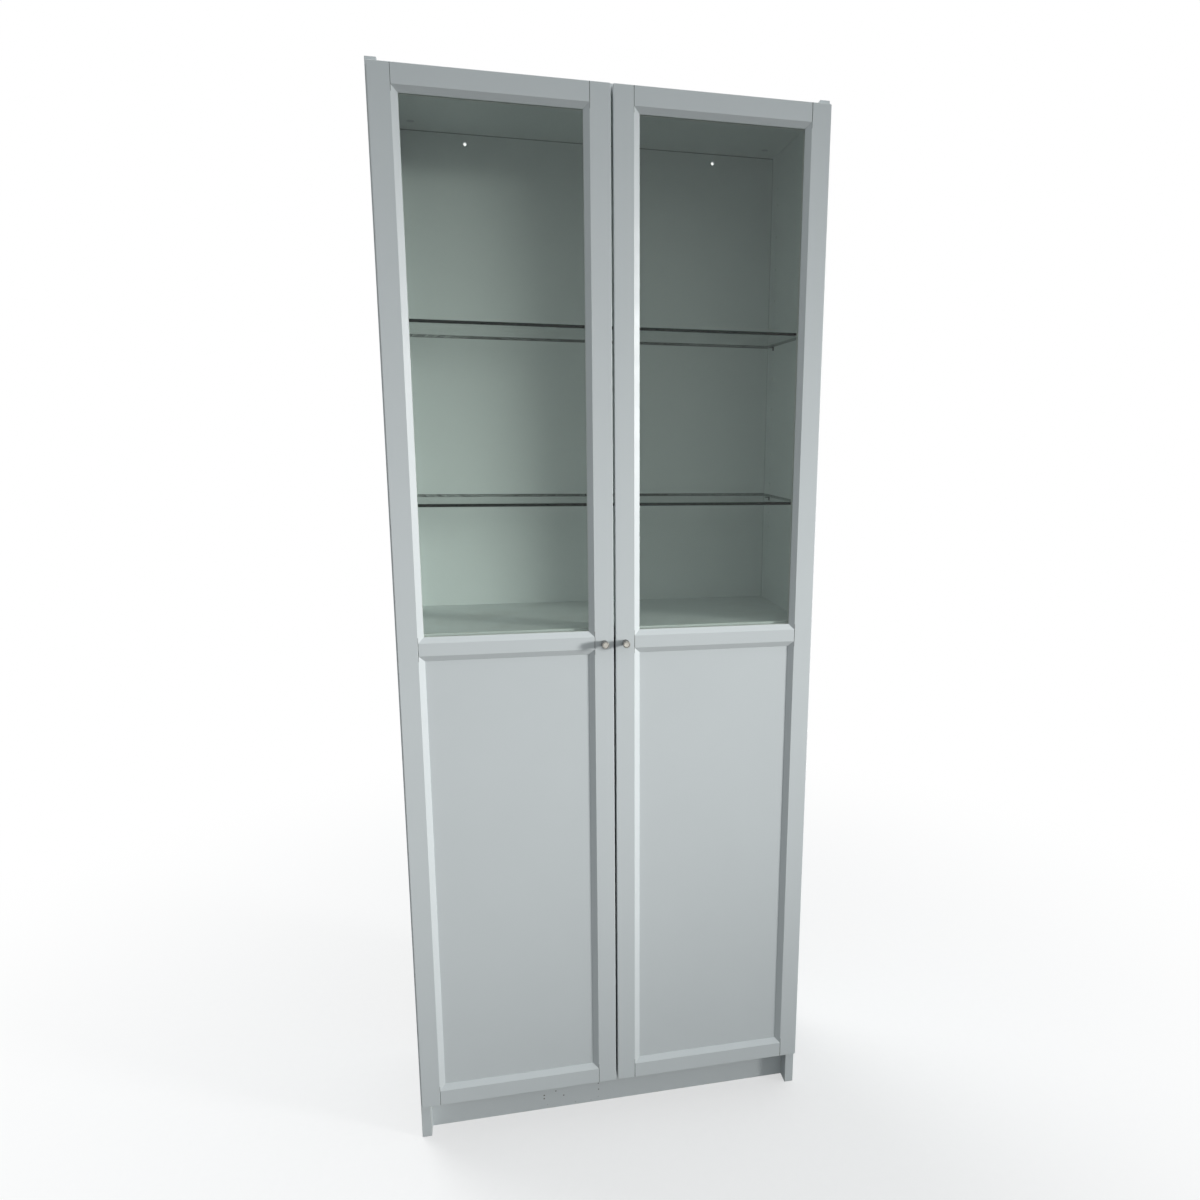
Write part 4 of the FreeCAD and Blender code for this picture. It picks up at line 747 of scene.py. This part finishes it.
def finished(name, node, body, material, solids, angle=32):
    """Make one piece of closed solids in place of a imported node, riding on its body."""
    whole = bmesh.new()
    for solid in solids:
        bmesh.ops.recalc_face_normals(solid, faces=solid.faces)
        carrier = bpy.data.meshes.new("carrier")
        solid.to_mesh(carrier)
        solid.free()
        whole.from_mesh(carrier)
        bpy.data.meshes.remove(carrier)
    data = bpy.data.meshes.new(name)
    whole.to_mesh(data)
    whole.free()
    if not data.polygons:
        raise RuntimeError("nothing was modelled for " + name)
    data.materials.append(material)
    data.shade_smooth()
    data.set_sharp_from_angle(angle=math.radians(angle))
    piece = bpy.data.objects.new(name, data)
    bpy.context.scene.collection.objects.link(piece)
    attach(piece, body)
    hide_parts(node)


# ------------------------------------------------------------------------- operators
class BOOKCASE_OT_stage(bpy.types.Operator):
    """Set up the floor, the soft lights, the white surroundings and the camera"""

    bl_idname = "bookcase.stage"
    bl_label = "Stage"

    def execute(self, context):
        scene = context.scene
        scene.view_settings.view_transform = "Standard"
        self.make_floor(scene)
        self.make_lights(scene)
        self.make_surroundings(scene)
        self.make_camera(scene)
        return {"FINISHED"}

    def make_floor(self, scene):
        """A pale disc that keeps the soft shadow near the bookcase and is white further off."""
        solid = bmesh.new()
        bmesh.ops.create_circle(solid, cap_ends=True, radius=14.0, segments=96)
        data = bpy.data.meshes.new("floor")
        solid.to_mesh(data)
        solid.free()
        floor = bpy.data.objects.new("floor", data)
        scene.collection.objects.link(floor)
        material, tree, shader = new_finish("pale_floor", Roughness=0.8, IOR=1.3)
        place = tree.place()
        grain = tree.noise(place, 60.0, 4.0, 0.6)
        tone = tree.blend(grain, PALE, (0.84, 0.84, 0.84, 1))
        tree.feed(shader, Base_Color=tone)
        glow = tree.add("ShaderNodeEmission", {"Color": (1, 1, 1, 1), "Strength": 1.0})
        reach = tree.ramp(tree.vector("LENGTH", place), 0.5, 2.2, 0.55, 1.0)
        lit = self.mix(tree, reach, shader, glow)
        dull = tree.add("ShaderNodeBsdfDiffuse", {"Color": (0.15, 0.15, 0.15, 1)})
        seen = self.mix(tree, self.seen_share(tree, tree.xyz(place)[1]), dull, lit)
        tree.link(seen.outputs[0], tree.tree.nodes["Material Output"].inputs["Surface"])
        data.materials.append(material)

    def mix(self, tree, share, one, other):
        shaders = {0: share, 1: one.outputs[0], 2: other.outputs[0]}
        return tree.add("ShaderNodeMixShader", shaders)

    def seen_share(self, tree, depth):
        """How white the room is: fully where it is seen, less where the front is mirrored."""
        path = tree.add("ShaderNodeLightPath").outputs
        direct = tree.math("MAXIMUM", path["Is Camera Ray"], path["Is Transmission Ray"])
        mirrored = tree.math("MULTIPLY", path["Is Glossy Ray"], tree.ramp(depth, -0.6, 0.4))
        return tree.math("MAXIMUM", direct, mirrored)

    def make_lights(self, scene):
        """A key light from the right and a weak one from behind and above."""
        key = bpy.data.lights.new("key_light", "SPOT")
        key.energy = KEY_POWER
        key.spot_size = math.radians(18.2)
        key.spot_blend = 1.0
        key.shadow_soft_size = 0.7
        key.color = (1.0, 0.998, 0.99)
        middle = Vector((-0.12, -0.13, 0.91))
        towards = Vector((0.875, -0.46, 0.15)).normalized()
        self.aim(scene, key, middle + 8.0 * towards, towards)
        rear = bpy.data.lights.new("rear_light", "SUN")
        rear.energy = 1.3
        rear.angle = math.radians(30.0)
        towards = Vector((-0.35, 0.45, 0.82)).normalized()
        self.aim(scene, rear, 4.0 * towards, towards)

    def aim(self, scene, lamp, at, towards):
        holder = bpy.data.objects.new(lamp.name, lamp)
        holder.rotation_euler = towards.to_track_quat("Z", "Y").to_euler()
        holder.location = at
        scene.collection.objects.link(holder)

    def make_surroundings(self, scene):
        """White where it is seen directly, and a soft room, brighter to the right, as light."""
        world = scene.world = bpy.data.worlds.new("pale_room")
        world.use_nodes = True
        tree = Tree(world.node_tree)
        tree.tree.nodes.clear()
        direction = tree.add("ShaderNodeTexCoord").outputs["Generated"]
        across, depth, height = tree.xyz(direction)
        sideways = tree.ramp(across, -0.9, 0.9, 0.34, 0.61)
        upwards = tree.ramp(height, -0.1, 0.9, 0.90, 1.55)
        strength = tree.math("MULTIPLY", sideways, upwards)
        room = {"Color": (0.93, 0.98, 1.0, 1), "Strength": strength}
        fill = tree.add("ShaderNodeBackground", room)
        white = tree.add("ShaderNodeBackground", {"Color": (1, 1, 1, 1), "Strength": 1.0})
        mixed = self.mix(tree, self.seen_share(tree, depth), fill, white)
        tree.add("ShaderNodeOutputWorld", {"Surface": mixed.outputs[0]})

    def make_camera(self, scene):
        camera = bpy.data.cameras.new("camera")
        camera.sensor_width = 36.0
        camera.lens = 26.557
        camera.shift_x = -0.07433
        camera.shift_y = 0.00667
        camera.dof.use_dof = False
        holder = bpy.data.objects.new("camera", camera)
        holder.location = (-0.22183, -1.77281, 1.42674)
        holder.rotation_euler = (1.376063, -0.011110, -0.218521)
        scene.collection.objects.link(holder)
        scene.camera = holder


class BOOKCASE_OT_boards(bpy.types.Operator):
    """Finish the carcass boards, the loose wooden shelves, the back and its tape"""

    bl_idname = "bookcase.boards"
    bl_label = "Boards"

    def execute(self, context):
        for node in ("side_panel_left", "side_panel_right"):
            set_finish(node, foil_finish(node, (BACK, DOWN), holes=True))
        set_finish("plinth", foil_finish("plinth", (BACK, DOWN), scuffed=True))
        loose = ("adjustable_shelf_lower", "adjustable_shelf_upper")
        for node in ("top_panel", "middle_shelf", "bottom_shelf", *loose):
            set_finish(node, foil_finish(node, (BACK,)))
        hardboard = hardboard_finish()
        set_finish("back_panel_left", hardboard)
        set_finish("back_panel_right", hardboard)
        set_finish("back_panel_tape", soft_plastic_finish("cloth_tape", "tape", 0.55))
        return {"FINISHED"}


class BOOKCASE_OT_door_frames(bpy.types.Operator):
    """Finish the stiles, the rails and the lower panels of both doors"""

    bl_idname = "bookcase.door_frames"
    bl_label = "Door Frames"

    def execute(self, context):
        for side in SIDES:
            seams = self.butt_joints(side)
            for part in FRAME_PARTS:
                node = f"{side}_door_{part}"
                set_finish(node, foil_finish(node, wear=0.35, dust=0.12, seams=seams[part]))
            node = f"{side}_door_panel"
            set_finish(node, foil_finish(node, wear=0.0, dust=0.0))
        return {"FINISHED"}

    def butt_joints(self, side):
        """The grooves between rails and stiles, by part: place across, bottom and top."""
        seams = {part: [] for part in FRAME_PARTS}
        middle = centre_of(f"{side}_door_top_rail").x
        for rail in ("bottom_rail", "middle_rail", "top_rail"):
            low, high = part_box(f"{side}_door_{rail}")
            for end in (low.x, high.x):
                stile = "meeting_stile" if abs(end) < abs(middle) else "hinge_stile"
                # the painted shade sits 0.3 mm right of the butt, on the groove wall that faces
                # away from the key light
                groove = (end + 0.3 * MM, low.z, high.z)
                seams[rail].append(groove)
                seams[stile].append(groove)
        return seams


class BOOKCASE_OT_glazing(bpy.types.Operator):
    """Finish the door panes and model the mitred beads behind the panes and panels"""

    bl_idname = "bookcase.glazing"
    bl_label = "Glazing"

    def execute(self, context):
        pane = pane_finish()
        plastic = soft_plastic_finish("bead_plastic", "bead_plastic")
        for side in SIDES:
            set_finish(f"{side}_door_glass", pane)
            for kind in ("glass", "panel"):
                node = f"{side}_door_{kind}_beads"
                finished(
                    f"{side}_{kind}_bead_frame", node, f"{side}_door", plastic,
                    [self.bead_frame(*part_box(node))],
                )
        return {"FINISHED"}

    def bead_frame(self, low, high):
        """Four mitred strips in one ring, rounded towards the opening and to the rear."""
        width = 7.2 * MM
        nose = sizes().bead_nose
        section = [(0.0, low.y), (width, low.y), (width, high.y - nose)]
        for step in range(1, 6):
            turn = step / 6 * math.pi / 2
            drop = nose * (1 - math.cos(turn))
            section.append((width - drop, high.y - nose * (1 - math.sin(turn))))
        section += [(width - nose, high.y), (0.0, high.y)]
        solid = bmesh.new()
        loops = []
        for inset, depth in section:
            corners = [
                (low.x + inset, low.z + inset), (high.x - inset, low.z + inset),
                (high.x - inset, high.z - inset), (low.x + inset, high.z - inset),
            ]
            verts = [solid.verts.new((x, depth, z)) for x, z in corners]
            loops.append([solid.edges.new((verts[i], verts[(i + 1) % 4])) for i in range(4)])
        for i, loop in enumerate(loops):
            bmesh.ops.bridge_loops(solid, edges=loop + loops[(i + 1) % len(loops)])
        return solid


class BOOKCASE_OT_glass_shelves(bpy.types.Operator):
    """Model the glass shelves with their arrised edges"""

    bl_idname = "bookcase.glass_shelves"
    bl_label = "Glass Shelves"

    def execute(self, context):
        glass = shelf_glass_finish()
        for node in ("glass_shelf_lower", "glass_shelf_upper"):
            pane = block(*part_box(node), rounding=0.7 * MM, segments=3)
            finished(f"{node}_arrised", node, "carcass", glass, [pane], angle=50)
        return {"FINISHED"}


class BOOKCASE_OT_shelf_pegs(bpy.types.Operator):
    """Model the steel pegs that carry the loose shelves"""

    bl_idname = "bookcase.shelf_pegs"
    bl_label = "Shelf Pegs"

    def execute(self, context):
        steel = metal_finish("peg_steel", "peg_steel", 0.34)
        for kind in ("glass", "adjustable"):
            node = f"{kind}_shelf_pegs"
            solids = []
            for middle, _low, high in solids_of(node):
                sign = 1 if middle.x > 0 else -1
                solids += self.peg(Vector((sign * INNER_FACE, middle.y, high.z)), -sign)
            finished(f"{node}_bent_steel", node, "carcass", steel, solids)
        return {"FINISHED"}

    def peg(self, at, inwards):
        """A peg's pin, collar and tongue, whose upper face is at a shelf's underside."""
        profile = [
            (0, -10.9), (1.6, -10.9), (2.35, -10.2), (2.35, -3), (2.2, -2.7), (2.35, -2.4),
            (2.35, 0.4), (0, 0.4),
        ]
        pin = put(turned(profile, 24), beyond(at, 0, 0, -2.5), (inwards, 0, 0))
        half_width, collar_height, thickness = 4.5, 7.5, 1.8
        collar_end = beyond(at, inwards * 1.2, half_width, 0)
        collar = block(beyond(at, 0, -half_width, -collar_height), collar_end, 0.45 * MM, 3)
        tongue_end = beyond(at, inwards * 9, half_width, 0)
        tongue = block(beyond(at, 0, -half_width, -thickness), tongue_end)
        tip = [
            e for e in tongue.edges
            if abs(e.verts[0].co.z - e.verts[1].co.z) > MM
            and abs(e.verts[0].co.x - at.x) > 5 * MM
        ]
        round_off(tongue, tip, 2.2 * MM, 5)
        rim = [e for e in tongue.edges if e.calc_face_angle(0) > HARD_EDGE]
        round_off(tongue, rim, 0.35 * MM)
        return [pin, collar, tongue]


class BOOKCASE_OT_knobs(bpy.types.Operator):
    """Turn the two knobs and model the screws that hold them"""

    bl_idname = "bookcase.knobs"
    bl_label = "Knobs"

    def execute(self, context):
        zinc = metal_finish("knob_screw_zinc", "zinc", 0.30)
        for side in SIDES:
            door = f"{side}_door"
            node = door + "_knob"
            middle = centre_of(node)
            foot = Vector((middle.x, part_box(node)[1].y, middle.z))
            finished(
                f"{side}_turned_knob", node, door, knob_finish(side),
                [put(turned(self.profile(), 64), foot, OUT)], angle=28,
            )
            node = door + "_knob_screw"
            low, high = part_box(node)
            head = Vector((middle.x, high.y - 1.5 * MM, middle.z))
            fixing = put(screw(4, 1.5, 2, (head.y - low.y) / MM, 1.2), head, BACK)
            finished(f"{side}_knob_fixing", node, door, zinc, [fixing])
        return {"FINISHED"}

    def profile(self):
        """Radius and distance from the door, from the foot to the dished end."""
        groove = sizes().knob_groove / MM
        points = [
            (0, 0), (5.0, 0), (5.2, 0.2), (5.2, 6.6), (5.3, 7.0), (6.5, 7.75), (6.8, 8.15),
            (6.8, 21.0),
        ]
        for step in range(1, 6):
            turn = step / 5 * math.pi / 2
            points.append((5.9 + 0.9 * math.cos(turn), 21.1 + 0.9 * math.sin(turn)))
        return points + [
            (5.55, 22), (5.4, 22 - groove), (5.25, 22 - groove), (5.1, 22), (4.95, 21.9),
            (4.6, 21.5), (0, 21.5),
        ]


class BOOKCASE_OT_hinges(bpy.types.Operator):
    """Model the concealed hinges: cups, arms, plates, links, pins and screws"""

    bl_idname = "bookcase.hinges"
    bl_label = "Hinges"

    def execute(self, context):
        nickel = metal_finish("hinge_nickel", "hinge_nickel", 0.30)
        zinc = metal_finish("hinge_zinc", "zinc", 0.32)
        edge = sizes().pressed_edge
        for node in ("hinge_plates", "hinge_arms"):
            pressed = [softened(node, edge)]
            finished(node + "_pressed", node, "carcass", nickel, pressed)
        plate_screws = screws_for("hinge_plate_screws", 3.6, 1.4, 2.4, short=0.1, turns=(0.5,))
        arm_screws = screws_for("hinge_arm_screws", 3.4, 1.3, 1.95, pitch=0.9, turns=(0.9,))
        for kind, screws in (("plate", plate_screws), ("arm", arm_screws)):
            finished(
                f"{kind}_screws_cross_head", f"hinge_{kind}_screws", "carcass",
                zinc, screws,
            )
        set_finish("hinge_arm_pins", zinc)
        for side in SIDES:
            node = f"{side}_hinge_links"
            links = [softened(node, edge)]
            finished(f"{side}_bent_links", node, f"{side}_links", nickel, links)
            door = f"{side}_door"
            node = door + "_hinge_cups"
            cups = self.cups(side, node)
            finished(f"{side}_pressed_cups", node, door, nickel, cups)
            node = door + "_cup_screws"
            screws = screws_for(node, 3.2, 0.9, 1.65, BACK, short=0.1, turns=(-0.3, 0.3))
            finished(f"{side}_cup_screws_cross_head", node, door, zinc, screws)
            set_finish(door + "_cup_pins", zinc)
        return {"FINISHED"}

    def cups(self, side, node):
        """Pressed cups with a rolled rim and a screw flange nearer to the door's middle."""
        outside = [(0, -11.4), (15.2, -11.4), (16.6, -10.9), (17.4, -9.6), (17.4, 0), (18.2, 0)]
        rim = [(18.2, 0.7), (17.9, 1.1), (17.3, 1.2), (16.8, 1.05), (16.5, 0.6)]
        inside = [(16.5, -9.2), (16.0, -10.1), (15.0, -10.5), (0, -10.5)]
        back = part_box(f"{side}_door_hinge_stile")[1].y
        flange_shift = SIDES[side] * -9.5
        solids = []
        for middle, _low, _high in solids_of(node):
            at = Vector((middle.x, back, middle.z))
            shell = turned(outside + rim + inside, sizes().cup_steps)
            solids.append(put(shell, at, BACK))
            flange = beyond(at, flange_shift, 0, 0)
            solids += [self.wing(flange, -1), self.wing(flange, 1)]
        return solids

    def wing(self, at, end):
        """One end of a cup's flange, with its corners and edges rounded."""
        half_width, thickness, near, far = 5.5, 1.15, end * 14.2, end * 29
        wing = block(beyond(at, -half_width, 0, near), beyond(at, half_width, thickness, far))
        tip = [
            e for e in wing.edges
            if abs(e.verts[0].co.y - e.verts[1].co.y) > 0.5 * MM
            and abs(e.verts[0].co.z - at.z) > 20 * MM
        ]
        round_off(wing, tip, 4.2 * MM, 6)
        rim = [
            e for e in wing.edges
            if min(v.co.y for v in e.verts) > at.y + 0.5 * MM
            and e.calc_face_angle(0) > HARD_EDGE
        ]
        round_off(wing, rim, 0.35 * MM)
        return wing


class BOOKCASE_OT_fittings(bpy.types.Operator):
    """Model the dowels, cam bolts and cam nuts that join the boards"""

    bl_idname = "bookcase.fittings"
    bl_label = "Board Fittings"

    def execute(self, context):
        cast = metal_finish("cam_zinc", "zinc", 0.42, scratch=0.6)
        nuts = [self.cam(middle, high) for middle, _low, high in solids_of("cam_nuts")]
        finished("cast_cam_nuts", "cam_nuts", "carcass", cast, nuts)
        zinc = metal_finish("bolt_zinc", "zinc", 0.28)
        bolts = [self.bolt(*found) for found in solids_of("cam_bolts")]
        finished("cam_bolts_threaded", "cam_bolts", "carcass", zinc, bolts)
        beech = beech_finish()
        dowels = {"wood_dowels": ("carcass", 30)}
        dowels.update({f"{side}_door_frame_dowels": (f"{side}_door", 32) for side in SIDES})
        for node, (body, length) in dowels.items():
            solids = [self.dowel(middle, low, length) for middle, low, _high in solids_of(node)]
            finished(f"{node}_fluted", node, body, beech, solids, angle=20)
        return {"FINISHED"}

    def cam(self, middle, high):
        """A cast cam nut with a cross slot in its lower face."""
        solid = bmesh.new()
        outline = [(7.3, 0), (7.45, 0.15), (7.45, 11.0), (7.1, 11.8), (5.6, 11.95), (5.3, 11.5)]
        rings = [round_ring(solid, radius, height) for radius, height in outline]
        rings.append(cross_ring(solid, 4.6, 0.95, 11.5))
        rings.append(cross_ring(solid, 3.6, 0.7, 7.5))
        return put(stacked(rings, solid), (middle.x, middle.y, high.z), DOWN, 0.4)

    def bolt(self, middle, low, high):
        """A cam bolt: its thread in the side panel, its necked head in the board."""
        inwards = 1 if middle.x < 0 else -1
        start = low.x if inwards > 0 else high.x
        pitch = 1.3
        profile = [(0, 0), (1.6, 0), (2.1, 0.8)]
        for i in range(7):
            profile += [(1.9, 1.2 + i * pitch), (2.4, 1.7 + i * pitch)]
        profile += [(2.4, 10.6), (2.95, 11.0), (2.95, 12.6), (2.4, 13.2), (2.4, 38.5)]
        profile += [(2.95, 39.6), (2.95, 42.6), (2.2, 43.8), (0, 44.0)]
        return put(turned(profile, 20), (start, middle.y, middle.z), (inwards, 0, 0))

    def dowel(self, middle, low, length):
        """A fluted dowel with chamfered ends."""
        radius, chamfer, groove = 3.95, 1.4, 0.95
        solid = bmesh.new()
        rings = []
        ends = ((0.72, 0), (1, chamfer), (1, length - chamfer), (0.72, length))
        for share, height in ends:
            ring = round_ring(solid, radius * share, height, 32)
            ring.sort(key=lambda v: math.atan2(v.co.y, v.co.x))
            for vert in ring[::2]:
                vert.co.x *= groove
                vert.co.y *= groove
            rings.append(ring)
        return put(stacked(rings, solid), (low.x, middle.y, middle.z), (1, 0, 0))


class BOOKCASE_OT_back_fixings(bpy.types.Operator):
    """Model the nails of the back, the wall brackets and their screws"""

    bl_idname = "bookcase.back_fixings"
    bl_label = "Back Fixings"

    def execute(self, context):
        zinc = metal_finish("bracket_zinc", "zinc", 0.36)
        screws = screws_for("wall_bracket_screws", 4, 2, 2, UP, turns=(0.7,))
        profile = [
            (0, -19.0), (0.25, -18.4), (0.7, -17.0), (0.7, -2.2), (0.78, -2.0), (0.7, -1.8),
            (0.78, -1.4), (0.7, -1.0), (0.7, 0), (2.3, 0), (2.4, 0.15), (2.3, 0.4), (1.7, 0.6),
            (0.9, 0.68), (0, 0.7),
        ]
        nails = []
        for middle, _low, high in solids_of("back_panel_nails"):
            head = Vector((middle.x, high.y - 0.7 * MM, middle.z))
            nails.append(put(turned(profile, 20), head, BACK))
        brackets = [softened("wall_brackets", sizes().bracket_edge)]
        for name, node, solids in (
            ("bent_wall_brackets", "wall_brackets", brackets),
            ("bracket_screws_cross_head", "wall_bracket_screws", screws),
            ("back_nails_domed", "back_panel_nails", nails),
        ):
            finished(name, node, "carcass", zinc, solids)
        return {"FINISHED"}


class BOOKCASE_OT_bumpers(bpy.types.Operator):
    """Model the felt bumpers behind the doors' meeting stiles"""

    bl_idname = "bookcase.bumpers"
    bl_label = "Bumpers"

    def execute(self, context):
        felt = felt_finish()
        profile = [(0, 0), (3.9, 0), (4.0, 0.2), (3.95, 1.2), (3.7, 1.55), (3.2, 1.7), (0, 1.7)]
        for side in SIDES:
            node = f"{side}_door_bumpers"
            discs = [
                put(turned(profile, 32), (middle.x, low.y, middle.z), BACK)
                for middle, low, _high in solids_of(node)
            ]
            finished(f"{side}_felt_bumpers", node, f"{side}_door", felt, discs)
        return {"FINISHED"}


class BOOKCASE_PT_panel(bpy.types.Panel):
    """The bookcase's steps, sizes and colours"""

    bl_label = "Bookcase"
    bl_idname = "BOOKCASE_PT_panel"
    bl_space_type = "VIEW_3D"
    bl_region_type = "UI"
    bl_category = "Bookcase"

    def draw(self, context):
        for step in STEPS:
            self.layout.operator(step.bl_idname)
        for group in (context.scene.bookcase_sizes, context.scene.bookcase_colours):
            column = self.layout.column()
            for name in type(group).__annotations__:
                column.prop(group, name)


STEPS = (
    BOOKCASE_OT_stage,
    BOOKCASE_OT_boards,
    BOOKCASE_OT_door_frames,
    BOOKCASE_OT_glazing,
    BOOKCASE_OT_glass_shelves,
    BOOKCASE_OT_shelf_pegs,
    BOOKCASE_OT_knobs,
    BOOKCASE_OT_hinges,
    BOOKCASE_OT_fittings,
    BOOKCASE_OT_back_fixings,
    BOOKCASE_OT_bumpers,
)


def register():
    for kind in (BookcaseSizes, BookcaseColours, *STEPS, BOOKCASE_PT_panel):
        bpy.utils.register_class(kind)
    bpy.types.Scene.bookcase_sizes = PointerProperty(type=BookcaseSizes)
    bpy.types.Scene.bookcase_colours = PointerProperty(type=BookcaseColours)


def unregister():
    del bpy.types.Scene.bookcase_colours
    del bpy.types.Scene.bookcase_sizes
    for kind in (BOOKCASE_PT_panel, *reversed(STEPS), BookcaseColours, BookcaseSizes):
        bpy.utils.unregister_class(kind)


def main():
    register()
    for step in STEPS:
        family, name = step.bl_idname.split(".")
        getattr(getattr(bpy.ops, family), name)()


if __name__ == "__main__":
    main()
